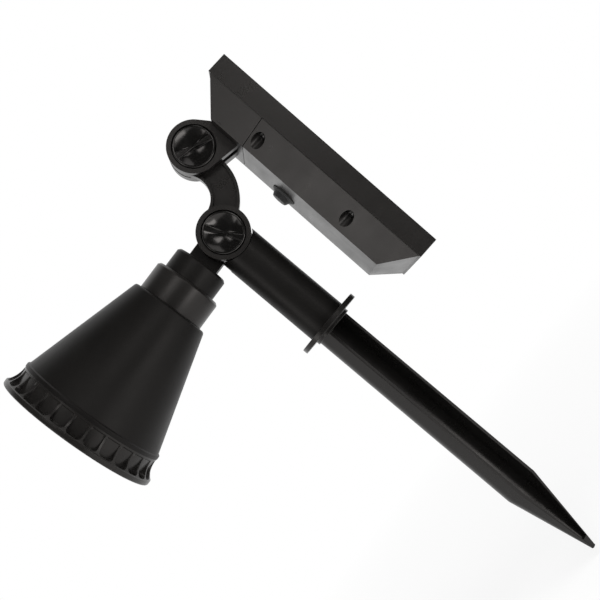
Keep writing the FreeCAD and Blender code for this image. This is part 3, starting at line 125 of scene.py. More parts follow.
class SpotlightLampSizes(bpy.types.PropertyGroup):
    """Turned pieces of the lamp head, with distances from the lower hinge along its axis."""
    tilt: turn("Tilt", "How far the lamp looks down", 4.1)
    neck_end: length("Neck end", "Collar's front face", 31.3)
    neck_hole: length("Neck hole", "Radius of the way for the neck's spigot", 12.1)
    spacer_radius: length("Spacer radius", "Ring between neck and shell", 18.9)
    spacer_bevel: length("Spacer bevel", "Bevel at the ring's small end", 1.2)
    shell_start: length("Shell start", "Closed top of the conical shell", 47.3)
    shell_end: length("Shell end", "Wide end of the conical shell", 114.3)
    shell_small: length("Shell small radius", "Cone at its shoulder", 22.3)
    shell_wide: length("Shell wide radius", "Cone at its wide end", 40.3)
    shell_shoulder: length("Shoulder", "Rounded shoulder at the cone's top", 2.2)
    shell_wall: length("Shell wall", "Wall of the cone", 2.4)
    shell_roof: length("Shell roof", "Thickness of the closed top", 3.0)
    bead: length("Bead", "Raised bead at the wide end", 1.0)
    bead_length: length("Bead length", "Length of the bead", 2.0)
    spigot_radius: length("Spigot radius", "Shell's spigot inside the bezel", 39.1)
    spigot_inner: length("Spigot bore", "Inner radius of the spigot", 36.9)
    spigot_end: length("Spigot end", "Front face of the spigot", 122.3)
    ledge_radius: length("Ledge radius", "Ledge behind the light board", 31.5)
    ledge_end: length("Ledge end", "Face that carries the light board", 112.3)
    ledge_height: length("Ledge height", "Thickness of the ledge", 4.0)
    bezel_end: length("Bezel end", "Front face of the bezel", 127.7)
    bezel_bore: length("Bezel bore", "Bore over the shell's spigot", 39.2)
    bezel_throat: length("Bezel throat", "Opening in front of the lens", 37.2)
    bezel_root: length("Bezel root", "Outer radius where it meets the shell", 41.0)
    bezel_flare: length("Bezel flare", "Outer radius behind the lip", 44.5)
    bezel_lip: length("Bezel lip", "Radius of the plain front lip", 45.0)
    lip_length: length("Lip length", "Length of the plain front lip", 3.0)
    lens_front: length("Lens front", "Front face of the lens", 126.1)
    lens_back: length("Lens back", "Rear face of the lens", 123.9)
    flute_count: number("Flutes", "Scooped pockets round the bezel", 28, 6, 60)
    flute_floor: length("Flute floor", "Radius at the floor of the pockets", 40.6)
    flute_start: length("Flute start", "Rear end of the pockets", 115.3)
    flute_end: length("Flute end", "Front end of the pockets", 124.5)
    rib: length("Rib", "Half width of a rib between two pockets", 0.5)
    pocket_corner: length("Pocket corner", "Rounded corners of the pockets at the lip", 2.2)
    pocket_wall: length("Pocket wall", "Width of the pockets' sloped side walls", 0.35)


class SpotlightKnobSizes(bpy.types.PropertyGroup):
    """The two like thumb knobs; depths count from the knob's face."""
    radius: length("Radius", "Outer radius of the knob", 11.5)
    face: length("Face", "Distance of the face from the middle plane", 10.4)
    thickness: length("Thickness", "Height of the side wall", 3.8)
    edge: length("Edge", "Rim round the scooped bowl", 1.2)
    rounding: length("Rounding", "Rounding of the rim's outer edge", 0.85)
    bowl_depth: length("Bowl depth", "Depth of the scooped bowl", 3.0)
    web_middle: length("Web middle", "Half thickness of the finger web in the middle", 0.5)
    web_end: length("Web end", "Half thickness of the finger web at the rim", 1.9)
    hub_radius: length("Hub radius", "Hub behind the knob", 4.6)
    hub_length: length("Hub length", "Length of the hub", 3.0)
    upper_turn: turn("Upper turn", "How far the upper web slopes down to the panel", 18.0)
    lower_turn: turn("Lower turn", "How far the lower web slopes down", 65.0)


class SpotlightButtonSizes(bpy.types.PropertyGroup):
    """Rubber mode button on the back of the case; heights count from the case's back."""
    lean: turn("Lean", "How far the case leans", 1.5)
    back: length("Back", "Case's back from the upper hinge", 15.0)
    side: length("Side", "Button's axis from the middle plane", 7.0)
    below: length("Below", "Button's axis below the upper hinge", 49.7)
    foot_radius: length("Foot radius", "Fixed foot ring", 7.4)
    foot_hole: length("Foot hole", "Bore of the foot ring", 5.9)
    foot_edge: length("Foot edge", "Height of the foot's outer edge", 0.5)
    foot_height: length("Foot height", "Height of the foot's top", 1.3)
    foot_top: length("Foot top", "Width of the foot's top", 0.3)
    cap_radius: length("Cap radius", "Moving cap at its foot", 5.65)
    cap_top: length("Cap top", "Moving cap at its top", 4.3)
    cap_height: length("Cap height", "Top of the cap", 4.0)
    cap_start: length("Cap start", "Underside of the cap", 0.8)
    plunger_radius: length("Plunger radius", "Plunger through the back wall", 2.6)
    plunger_end: length("Plunger end", "Depth of the plunger's end", 2.8)


class SpotlightEdges(bpy.types.PropertyGroup):
    """Moulded edges of the pieces."""
    case: length("Case edges", "Rounding of the panel case's edges", 0.2)
    hinge: length("Hinge edges", "Rounding of the arm's and the stem's edges", 0.25)
    spike: length("Spike edges", "Rounding of the spike's edges", 0.3)
    small: length("Small edges", "Rounding of small and inner pieces", 0.15)
    steps: number("Steps", "Facets across a rounded edge", 3, 1, 8)


class SpotlightFinish(bpy.types.PropertyGroup):
    """Colours and gloss of the finishes."""
    case_black: colour("Case black", "Case, arm, spacer and bezel", (0.0085, 0.0079, 0.0074))
    lamp_black: colour("Lamp black", "Lamp shell", (0.0046, 0.0043, 0.004))
    knob_black: colour("Knob black", "Thumb knobs", (0.004, 0.0038, 0.0036))
    spike_black: colour("Spike black", "Spike, stem and neck", (0.005, 0.0047, 0.0044))
    rubber_black: colour("Rubber black", "Button and seals", (0.012, 0.0118, 0.0115))
    steel: colour("Steel", "Zinc-plated screws, bolts and nuts", (0.56, 0.56, 0.55))
    black_steel: colour("Black steel", "Battery cover's screws", (0.045, 0.044, 0.043))
    cell_blue: colour("Cell blue", "Solar cells", (0.008, 0.014, 0.05))
    cell_lines: colour("Cell lines", "Printed silver lines on the cells", (0.55, 0.56, 0.58))
    case_rough: share("Case roughness", "Case, arm, spacer and bezel", 0.3)
    lamp_rough: share("Lamp roughness", "Lamp shell", 0.42)
    knob_rough: share("Knob roughness", "Thumb knobs", 0.15)
    spike_rough: share("Spike roughness", "Ground spike", 0.27)
    stem_rough: share("Stem roughness", "Stem and neck", 0.4)
    inner_rough: share("Inner roughness", "Plastic inside the case", 0.5)
    matt: share("Matt", "Specular level of the lamp, stem and neck", 0.14)
    satin: share("Satin", "Specular level of the case and the spike", 0.3)
    polished: share("Polished", "Specular level of the knobs and inner plastic", 0.5)


class SpotlightStudio(bpy.types.PropertyGroup):
    """Camera, lamps and floor."""
    camera_place: FloatVectorProperty(
        name="Camera place", description="Where the camera stands", subtype="XYZ",
        default=(-0.05217, -0.54369, -0.00571), unit="LENGTH", precision=5)
    camera_turn: FloatVectorProperty(
        name="Camera turn", description="Its tilt, roll and heading", subtype="EULER",
        default=[radians(angle) for angle in (94.342, 49.853, -2.124)], unit="ROTATION")
    lens: FloatProperty(name="Lens", description="Focal length on a 36 mm sensor, in millimetres",
                        default=62.74, min=10.0, max=300.0)
    floor_height: length("Floor height", "Height of the floor under the spike's tip", -181.0)
    floor_size: length("Floor size", "Side of the floor sheet", 8000.0)
    floor_shade: share("Floor shade", "How much of the floor's own light and shade shows", 0.25)
    shade_start: length("Shade start", "Distance at which the floor starts to turn white", 150.0)
    shade_end: length("Shade end", "Distance at which the floor is white", 700.0)
    fill_power: amount("Fill power", "Overhead softbox, in watts", 5.5)
    side_power: amount("Side power", "Softbox on the lamp's side, in watts", 2.0)
    low_power: amount("Low power", "Strip softbox near the floor, in watts", 0.45)
    right_power: amount("Right power", "Small softbox right of the camera, in watts", 0.9)
    high_power: amount("High power", "Small softbox above the camera, in watts", 0.63)
    card_width: length("Card width", "Width of the dark card on the camera's side", 2400.0)
    card_foot: length("Card foot", "How far in front of the part the card stands", 420.0)
    card_bend: length("Card bend", "How far in front of the part the card bends", 1100.0)
    card_height: length("Card height", "Height of the card's upper part", 1300.0)
    card_fold: share("Card fold", "Share of its reach and height at which the card folds", 0.6)
    card_reach: length("Card reach", "How far the upper part reaches over the part", 300.0)
    world_level: amount("World level", "Even light of the white room", 0.55)


def sizes(name):
    """The scene's values of one group."""
    return getattr(bpy.context.scene, "spotlight_" + name)


# ---- frames of the moving pieces

def lamp_frame():
    """Origin at the lower hinge, +Z along the lamp to its lens."""
    return Matrix.Translation(LOWER_PIVOT) @ Matrix.Rotation(-pi / 2 - sizes("lamp").tilt, 4, "Y")


def panel_frame():
    """Origin at the upper hinge, +X out of the solar face, +Z to the case's top end."""
    return Matrix.Translation(UPPER_PIVOT) @ Matrix.Rotation(sizes("button").lean, 4, "Y")


def button_frame():
    """Origin on the case's back at the button, +Z out of the back."""
    button = sizes("button")
    place = Matrix.Translation((button.back, button.side, -button.below))
    return panel_frame() @ place @ Matrix.Rotation(-pi / 2, 4, "Y")


def knob_frame(pivot, angle):
    """Origin on the hinge's axis in the middle plane, +Z out of the face, X along the web."""
    return (Matrix.Translation(pivot) @ Matrix.Rotation(angle, 4, "Y")
            @ Matrix.Rotation(pi / 2, 4, "X"))


# ---- mesh building

def soften(corners, steps=4):
    """Section whose corners (x, y, rounding) are drawn with curves."""
    points = []
    for index, (x, y, rounding) in enumerate(corners):
        here = Vector((x, y))
        before = Vector(corners[index - 1][:2]) - here
        after = Vector(corners[(index + 1) % len(corners)][:2]) - here
        if rounding <= 0.0:
            points.append(here)
            continue
        reach = min(rounding / tan(before.angle(after) / 2), ROUNDING_SHARE * before.length,
                    ROUNDING_SHARE * after.length)
        start = here + before.normalized() * reach
        end = here + after.normalized() * reach
        for step in range(steps + 1):
            part = step / steps
            points.append(start * (1 - part) ** 2 + here * 2 * part * (1 - part) + end * part ** 2)
    return points


def join_rings(mesh, rings, closed=False):
    """Quads between neighbouring rings of vertices; a ring may be a single pole."""
    pairs = list(zip(rings, rings[1:]))
    if closed:
        pairs.append((rings[-1], rings[0]))
    for low, high in pairs:
        count = max(len(low), len(high))
        if count == 1:
            continue
        for index in range(count):
            after = (index + 1) % count
            corners = [low[index % len(low)], low[after % len(low)], high[after % len(high)],
                       high[index % len(high)]]
            face = list(dict.fromkeys(corners))
            if len(face) > 2:
                mesh.faces.new(face)


def ring(mesh, points):
    """Vertices about Z at (radius, angle, height) points."""
    return [mesh.verts.new((radius * cos(angle), radius * sin(angle), height))
            for radius, angle, height in points]


def revolve(section, steps, shape=None):
    """Mesh turned about Z from (radius, height) points; shape(radius, height, step) may give
    each point of a ring its own radius and angle."""
    mesh = bmesh.new()
    rings = []
    for radius, height in section:
        if radius < SAME_POINT:
            rings.append(ring(mesh, [(0.0, 0.0, height)]))
            continue
        turned = [shape(radius, height, step) if shape else (radius, 2 * pi * step / steps)
                  for step in range(steps)]
        rings.append(ring(mesh, [(out, angle, height) for out, angle in turned]))
    ends_on_axis = len(rings[0]) == 1 and len(rings[-1]) == 1
    join_rings(mesh, rings, closed=not ends_on_axis)
    return mesh


def in_scene(name, data):
    """Object of the scene that shows some data."""
    made = bpy.data.objects.new(name, data)
    bpy.context.scene.collection.objects.link(made)
    return made


def from_mesh(name, mesh, finish):
    """Object of the scene from a mesh, with its material."""
    data = bpy.data.meshes.new(name)
    mesh.to_mesh(data)
    mesh.free()
    data.materials.append(finish)
    return in_scene(name, data)


def make_piece(name, mesh, place, finish, body, stands_for, sharp=38):
    """Object in the row frame from a mesh, riding on a body in place of CAD nodes."""
    mesh.transform(place)
    bmesh.ops.remove_doubles(mesh, verts=mesh.verts, dist=SAME_POINT)
    bmesh.ops.recalc_face_normals(mesh, faces=mesh.faces)
    piece = from_mesh(name, mesh, material(finish))
    piece.data.shade_smooth()
    piece.data.set_sharp_from_angle(angle=radians(sharp))
    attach(piece, body)
    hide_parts(*stands_for)


def dress(node, finish, edge=None):
    """Give a CAD node its finish and, by the name of an edge size, its moulded edges."""
    piece = frame["nodes"][node]
    for slot in piece.material_slots:
        slot.material = material(finish)
    weld = piece.modifiers.new("Joined corners", "WELD")
    weld.merge_threshold = SAME_CORNER
    flat = piece.modifiers.new("Flat faces", "DECIMATE")
    flat.decimate_type = "DISSOLVE"
    flat.angle_limit = ONE_PLANE
    if edge is not None:
        bevel = piece.modifiers.new("Moulded edges", "BEVEL")
        bevel.width = getattr(sizes("edges"), edge)
        bevel.segments = sizes("edges").steps
        bevel.limit_method = "ANGLE"
        bevel.angle_limit = SHARP_EDGE
        bevel.miter_outer = "MITER_ARC"
    smooth = piece.modifiers.new("Smooth faces", "NODES")
    smooth.node_group = smooth_faces()
    level = piece.modifiers.new("Flat shading of large faces", "WEIGHTED_NORMAL")
    level.weight = 100
    level.keep_sharp = True


def smooth_faces():
    """Geometry nodes that shade smooth across all edges but the sharp ones."""
    name = "smooth faces"
    if name in bpy.data.node_groups:
        return bpy.data.node_groups[name]
    group = bpy.data.node_groups.new(name, "GeometryNodeTree")
    for way in ("INPUT", "OUTPUT"):
        group.interface.new_socket("Geometry", in_out=way, socket_type="NodeSocketGeometry")
    nodes = Nodes(group)
    bend = nodes.add("GeometryNodeInputMeshEdgeAngle").outputs["Unsigned Angle"]
    steep = nodes.add("FunctionNodeCompare", A=bend, B=SHARP_EDGE)
    steep.operation = "GREATER_THAN"
    start = nodes.add("NodeGroupInput").outputs[0]
    faces = nodes.add("GeometryNodeSetShadeSmooth", Geometry=start)
    edges = nodes.add("GeometryNodeSetShadeSmooth", Geometry=faces.outputs[0],
                      Selection=steep.outputs[0], Shade_Smooth=False)
    edges.domain = "EDGE"
    nodes.add("NodeGroupOutput", Geometry=edges.outputs[0])
    return group


# ---- nodes and finishes

class Nodes:
    """A node tree and short ways to fill it."""

    def __init__(self, tree):
        self.tree = tree

    def put(self, socket, value):
        """Link an output to a socket, or set the socket to a number or a colour."""
        if isinstance(value, bpy.types.NodeSocket):
            self.tree.links.new(value, socket)
        else:
            socket.default_value = value

    def add(self, kind, **inputs):
        node = self.tree.nodes.new(kind)
        for socket, value in inputs.items():
            self.put(node.inputs[socket.replace("_", " ")], value)
        return node

    def maths(self, operation, first, second=0.0):
        node = self.tree.nodes.new("ShaderNodeMath")
        node.operation = operation
        self.put(node.inputs[0], first)
        self.put(node.inputs[1], second)
        return node.outputs[0]

    def seen(self):
        """1 for what the camera sees, directly or by a reflection or through glass, else 0."""
        path = self.add("ShaderNodeLightPath").outputs
        mirrored = self.maths("MAXIMUM", path["Is Glossy Ray"], path["Is Transmission Ray"])
        return self.maths("MAXIMUM", path["Is Camera Ray"], mirrored)

    def show(self, output, factor, first, second):
        """Lead a mix of two shaders to the named output node."""
        mix = self.add("ShaderNodeMixShader", Fac=factor)
        self.put(mix.inputs[1], first.outputs[0])
        self.put(mix.inputs[2], second.outputs[0])
        self.put(self.tree.nodes[output].inputs["Surface"], mix.outputs[0])


class Finish(Nodes):
    """Node material with the shader's constant sockets set and its textures linked."""

    def __init__(self, name, colour, roughness, **sockets):
        self.material = bpy.data.materials.new(name)
        self.material.use_nodes = True
        super().__init__(self.material.node_tree)
        self.shader = self.tree.nodes["Principled BSDF"]
        self.colour = colour
        self.roughness = roughness
        sockets.update(Base_Color=(*colour, 1.0), Roughness=roughness)
        for socket, value in sockets.items():
            self.shader.inputs[socket.replace("_", " ")].default_value = value
        self.place = self.add("ShaderNodeTexCoord").outputs["Object"]

    def link(self, output, socket):
        self.tree.links.new(output, self.shader.inputs[socket])

    def stretched(self, scale, turned=(0.0, 0.0, 0.0)):
        """The part's own coordinates, turned and scaled along each axis."""
        return self.add("ShaderNodeMapping", Vector=self.place, Scale=scale,
                        Rotation=turned).outputs[0]

    def noise(self, scale, detail=2.0, vector=None, distortion=0.0):
        return self.add("ShaderNodeTexNoise", Vector=vector or self.place, Scale=scale,
                        Detail=detail, Distortion=distortion).outputs["Fac"]

    def ranged(self, value, low, high, start=0.3, end=0.7):
        """A value between start and end, led over to one between low and high."""
        return self.add("ShaderNodeMapRange", Value=value, From_Min=start, From_Max=end,
                        To_Min=low, To_Max=high).outputs[0]

    def summed(self, first, second, part):
        """Part of the first value and the rest of the second."""
        return self.maths("ADD", self.maths("MULTIPLY", first, part),
                          self.maths("MULTIPLY", second, 1.0 - part))

    def mixed(self, factor, first, second):
        """Colour between two colours."""
        node = self.tree.nodes.new("ShaderNodeMix")
        node.data_type = "RGBA"
        self.put(node.inputs["Factor"], factor)
        for place, value in zip(MIX_COLOURS, (first, second)):
            fixed = not isinstance(value, bpy.types.NodeSocket)
            self.put(node.inputs[place], (*value, 1.0) if fixed else value)
        return node.outputs[MIX_RESULT]

    def toned(self, factor, low, high):
        """Colour between a darker and a lighter tone of the finish's own."""
        dark, light = [[channel * tone for channel in self.colour] for tone in (low, high)]
        return self.mixed(factor, dark, light)

    def vary_colour(self, factor, low, high):
        self.link(self.toned(factor, low, high), "Base Color")

    def vary_roughness(self, value, spread):
        self.link(self.ranged(value, self.roughness - spread, self.roughness + spread),
                  "Roughness")

    def bump(self, height, strength, depth, under=None):
        """Relief with its depth in millimetres, on top of another one."""
        node = self.add("ShaderNodeBump", Height=height, Strength=strength, Distance=depth * MM)
        if under is not None:
            self.put(node.inputs["Normal"], under)
        self.link(node.outputs[0], "Normal")
        return node.outputs[0]


def moulded_plastic(name, colour, roughness, level, grain, grain_depth, wear=0.5):
    """Moulded plastic: fine spark-eroded grain, faint flow marks and handling scuffs."""
    # the specular tint is a painted tint of warm light on the plastic's reflections
    finish = Finish(name, colour, roughness, Specular_IOR_Level=level, Specular_Tint=PAINTED_WARM_LIGHT_TINT)
    fine = finish.noise(grain, detail=3.0)
    cloud = finish.noise(45.0, detail=4.0, distortion=0.4)
    flow = finish.noise(1.0, detail=3.0, vector=finish.stretched((38.0, 38.0, 160.0)))
    scuff = finish.noise(1.0, detail=2.0,
                         vector=finish.stretched((900.0, 420.0, 60.0), (0.5, 0.9, 0.3)))
    marks = finish.ranged(scuff, 0.0, wear, start=0.6, end=0.8)
    finish.vary_colour(finish.summed(cloud, fine, 0.55), 0.72, 1.3)
    uneven = finish.ranged(finish.summed(cloud, flow, 0.6), roughness - 0.05, roughness + 0.07)
    finish.link(finish.maths("ADD", uneven, finish.maths("MULTIPLY", marks, 0.08)), "Roughness")
    under = finish.bump(marks, 0.1, 0.01, under=finish.bump(flow, 0.12, 0.08))
    finish.bump(fine, 0.55, grain_depth, under=under)
    return finish.material


def rubber(name, colour):
    """Silicone rubber: dull and slightly mottled, with a fine skin."""
    finish = Finish(name, colour, 0.62, Specular_IOR_Level=0.4, Sheen_Weight=0.15,
                    Sheen_Roughness=0.5)
    mottle = finish.noise(260.0, detail=5.0)
    skin = finish.noise(2400.0, detail=2.0)
    finish.vary_colour(mottle, 0.75, 1.35)
    finish.vary_roughness(mottle, 0.07)
    finish.bump(skin, 0.5, 0.03, under=finish.bump(mottle, 0.2, 0.05))
    return finish.material


def plated_steel(name, colour):
    """Zinc-plated steel with turning marks and a dull bloom."""
    finish = Finish(name, colour, 0.32, Metallic=1.0)
    bloom = finish.noise(300.0, detail=5.0)
    lines = finish.noise(1.0, detail=2.0, vector=finish.stretched((900.0, 9000.0, 900.0)))
    finish.vary_colour(bloom, 0.72, 1.12)
    finish.vary_roughness(bloom, 0.1)
    finish.bump(lines, 0.35, 0.02)
    return finish.material


def clear_plastic(name, tint, roughness):
    """Clear moulded plastic with a faint ripple, a little duller where dust lies."""
    finish = Finish(name, tint, roughness, Transmission_Weight=1.0, IOR=1.49)
    ripple = finish.noise(60.0, detail=1.0)
    dust = finish.noise(1800.0, detail=4.0)
    finish.link(finish.ranged(dust, roughness, roughness + 0.12, start=0.55, end=0.75),
                "Roughness")
    finish.bump(ripple, 0.08, 0.1)
    return finish.material


def metallised(name):
    """Vacuum-metallised cups of the reflector."""
    finish = Finish(name, (0.86, 0.86, 0.86), 0.1, Metallic=1.0)
    haze = finish.noise(200.0, detail=4.0)
    finish.vary_colour(haze, 0.92, 1.04)
    finish.vary_roughness(haze, 0.05)
    finish.bump(finish.noise(1200.0), 0.15, 0.01)
    return finish.material


def circuit_mask(name, colour, copper):
    """Solder mask over copper tracks."""
    finish = Finish(name, colour, 0.34)
    tracks = finish.add("ShaderNodeTexVoronoi", Vector=finish.place, Scale=420.0)
    tracks.feature = "DISTANCE_TO_EDGE"
    raised = finish.ranged(tracks.outputs["Distance"], 1.0, 0.0, start=0.04, end=0.07)
    finish.link(finish.mixed(raised, colour, copper), "Base Color")
    finish.vary_roughness(finish.noise(700.0, detail=3.0), 0.08)
    finish.bump(raised, 0.4, 0.03)
    return finish.material


def phosphor(name):
    """Yellow phosphor gel of a light chip."""
    finish = Finish(name, (0.86, 0.62, 0.08), 0.3, Subsurface_Weight=0.2)
    grains = finish.noise(4200.0, detail=3.0)
    finish.vary_colour(grains, 0.8, 1.1)
    finish.vary_roughness(grains, 0.1)
    finish.bump(grains, 0.3, 0.02)
    return finish.material


def solar_cell(name, colour, lines):
    """Blue crystal cells with printed fingers across and bus bars along the case."""
    finish = Finish(name, colour, 0.22, Coat_Weight=0.4, Coat_Roughness=0.08)
    local = finish.stretched((1.0, 1.0, 1.0), (0.0, -sizes("button").lean, 0.0))
    axes = finish.add("ShaderNodeSeparateXYZ", Vector=local).outputs

    def stripes(axis, pitch, width):
        """1 on stripes square to an axis; their pitch in millimetres, their width in pitches."""
        turns = finish.maths("MULTIPLY", axes[axis], 1 / (pitch * MM))
        return finish.maths("LESS_THAN", finish.maths("FRACT", turns), width)

    printed = finish.maths("MAXIMUM", stripes("Z", 1.7, 0.09), stripes("Y", 19.0, 0.06))
    crystals = finish.add("ShaderNodeTexVoronoi", Vector=local, Scale=150.0)
    grain = finish.ranged(crystals.outputs["Distance"], 0.0, 1.0, start=0.0, end=1.0)
    finish.link(finish.mixed(printed, finish.toned(grain, 0.6, 1.6), lines), "Base Color")
    finish.vary_roughness(finish.noise(320.0, detail=3.0), 0.05)
    finish.bump(printed, 0.3, 0.02)
    return finish.material


def paper_sleeve(name):
    """Shrink sleeve of the battery cell."""
    finish = Finish(name, (0.03, 0.2, 0.15), 0.3, Coat_Weight=0.3)
    folds = finish.noise(1.0, detail=3.0, vector=finish.stretched((120.0, 120.0, 1400.0)))
    finish.vary_colour(folds, 0.85, 1.15)
    finish.vary_roughness(finish.noise(500.0, detail=3.0), 0.08)
    finish.bump(folds, 0.3, 0.05)
    return finish.material


# Each finish with its function and what that takes; a word stands for a value of the finish group.
FINISHES = {
    "case plastic": (moulded_plastic, "case_black", "case_rough", "satin", 1500.0, 0.035),
    "lamp plastic": (moulded_plastic, "lamp_black", "lamp_rough", "matt", 1900.0, 0.03, 0.3),
    "knob plastic": (moulded_plastic, "knob_black", "knob_rough", "polished", 700.0, 0.004, 0.6),
    "stem plastic": (moulded_plastic, "spike_black", "stem_rough", "matt", 1100.0, 0.012),
    "spike plastic": (moulded_plastic, "spike_black", "spike_rough", "satin", 900.0, 0.008, 0.8),
    "backing board": (moulded_plastic, (0.02, 0.021, 0.024), "inner_rough", "polished", 1200.0,
                      0.02),
    "inner plastic": (moulded_plastic, (0.02, 0.02, 0.021), "inner_rough", "polished", 1300.0,
                      0.03),
    "rubber": (rubber, "rubber_black"),
    "plated steel": (plated_steel, "steel"),
    "black steel": (plated_steel, "black_steel"),
    "clear lens": (clear_plastic, (0.97, 0.98, 0.99), 0.04),
    "clear sheet": (clear_plastic, (0.96, 0.97, 0.98), 0.06),
    "metallised cups": (metallised,),
    "white mask": (circuit_mask, (0.78, 0.78, 0.75), (0.62, 0.6, 0.55)),
    "green mask": (circuit_mask, (0.012, 0.1, 0.04), (0.03, 0.19, 0.07)),
    "phosphor": (phosphor,),
    "solar cell": (solar_cell, "cell_blue", "cell_lines"),
    "battery sleeve": (paper_sleeve,),
}
MADE = {}


def material(name):
    """One of the finishes, made when it is first used."""
    if name not in MADE:
        make, *values = FINISHES[name]
        group = sizes("finish")
        MADE[name] = make(name, *(getattr(group, value) if isinstance(value, str) else value
                                  for value in values))
    return MADE[name]


# ---- pieces

class SPOTLIGHT_OT_spike(bpy.types.Operator):
    """Finish the ground spike with its flange"""
    bl_idname = "spotlight.spike"
    bl_label = "Ground spike"

    def execute(self, context):
        dress("ground_spike", "spike plastic", "spike")
        return {"FINISHED"}


class SPOTLIGHT_OT_hinges(bpy.types.Operator):
    """Finish the stem, the arm and the friction rings between them"""
    bl_idname = "spotlight.hinges"
    bl_label = "Stem and arm"

    def execute(self, context):
        dress("stem_tube", "stem plastic", "hinge")
        dress("hinge_arm", "case plastic", "hinge")
        for seal in ("arm_friction_rings", "neck_friction_ring"):
            dress(seal, "rubber", "small")
        return {"FINISHED"}


def knob_mesh():
    """Round thumb knob: a scooped bowl with a finger web that widens to the rim."""
    knob = sizes("knobs")
    bowl_radius = knob.radius - knob.edge
    ball = (bowl_radius ** 2 + knob.bowl_depth ** 2) / (2 * knob.bowl_depth)
    # off the web's side wall in mm: rounded crest by depth in mm, foot by share of the bowl's depth
    crest = ((-0.5, 0.0), (-0.3, -0.02), (-0.14, -0.08), (-0.04, -0.2), (0.0, -0.45))
    foot = ((0.05, 0.7), (0.12, 0.9), (0.35, 1.0))
    bowl_steps = 9
    rim_steps = 5
    rim_gap = 0.12 * MM

    def bowl_level(radius):
        if radius >= bowl_radius:
            return 0.0
        return ball - knob.bowl_depth - sqrt(ball ** 2 - radius ** 2)

    def quarter(radius):
        """(angle, level) from the web's middle line to square off it."""
        half = knob.web_middle + (knob.web_end - knob.web_middle) * radius / knob.radius
        floor = bowl_level(radius)
        levels = [(0.0, 0.0), (0.5 * half, 0.0)]
        levels += [(half + off * MM, max(drop * MM, floor)) for off, drop in crest]
        levels += [(half + off * MM, part * floor) for off, part in foot]
        found = [(asin(min(1.0, max(0.0, across) / radius)), level) for across, level in levels]
        last = found[-1][0]
        return found + [(last + (pi / 2 - last) * step / bowl_steps, floor)
                        for step in range(1, bowl_steps + 1)]

    mesh = bmesh.new()
    radii = [0.35, 0.7, 0.85, 0.95, 1.05, 1.15, 1.3, 1.5, 1.8, 2.2, 2.8, 3.5, 4.3, 5.2, 6.1, 7.0,
             7.8, 8.5, 9.1, 9.6, 9.95, 10.15, 10.3]
    rings = [ring(mesh, [(0.0, 0.0, 0.0)])]
    for radius in [value * MM for value in radii]:
        around = quarter(radius)
        turns = around + [(pi - angle, level) for angle, level in reversed(around[:-1])]
        turns += [(pi + angle, level) for angle, level in turns[1:-1]]
        rings.append(ring(mesh, [(radius, angle, level) for angle, level in turns]))
    angles = [atan2(vert.co.y, vert.co.x) for vert in rings[-1]]
    back = -knob.thickness - knob.hub_length
    rim = [(bowl_radius + rim_gap, 0.0)]
    for step in range(rim_steps + 1):
        bend = pi / 2 * step / rim_steps
        rim.append((knob.radius - knob.rounding * (1 - sin(bend)),
                    -knob.rounding * (1 - cos(bend))))
    rim += [(knob.radius, -knob.thickness), (knob.hub_radius, -knob.thickness),
            (knob.hub_radius, back)]
    rings += [ring(mesh, [(radius, angle, level) for angle in angles]) for radius, level in rim]
    rings.append(ring(mesh, [(0.0, 0.0, back)]))
    join_rings(mesh, rings)
    bmesh.ops.translate(mesh, verts=mesh.verts, vec=(0.0, 0.0, knob.face))
    bmesh.ops.dissolve_degenerate(mesh, edges=mesh.edges, dist=SAME_CORNER)
    return mesh


class SPOTLIGHT_OT_knobs(bpy.types.Operator):
    """Model the two like thumb knobs"""
    bl_idname = "spotlight.knobs"
    bl_label = "Thumb knobs"

    def execute(self, context):
        knob = sizes("knobs")
        for side, pivot, angle in (("lower", LOWER_PIVOT, knob.lower_turn),
                                   ("upper", UPPER_PIVOT, knob.upper_turn)):
            make_piece(side + "_thumb_knob", knob_mesh(), knob_frame(pivot, angle),
                       "knob plastic", side + "_knob_turned", [side + "_knob"], sharp=50)
        return {"FINISHED"}


class SPOTLIGHT_OT_neck(bpy.types.Operator):
    """Finish the lamp's neck and model its spacer ring"""
    bl_idname = "spotlight.neck"
    bl_label = "Neck and spacer ring"

    def execute(self, context):
        lamp = sizes("lamp")
        dress("lamp_neck", "stem plastic", "hinge")
        dress("neck_locknut", "inner plastic", "small")
        section = soften([
            (lamp.neck_hole, lamp.neck_end, 0.2 * MM),
            (lamp.spacer_radius - lamp.spacer_bevel, lamp.neck_end, 0.5 * MM),
            (lamp.spacer_radius, lamp.neck_end + lamp.spacer_bevel, 0.7 * MM),
            (lamp.spacer_radius, lamp.shell_start, 0.35 * MM),
            (lamp.neck_hole, lamp.shell_start, 0.2 * MM)])
        make_piece("spacer_ring", revolve(section, ROUND_STEPS), lamp_frame(), "case plastic",
                   "lamp_head", ["neck_spacer_ring"])
        return {"FINISHED"}


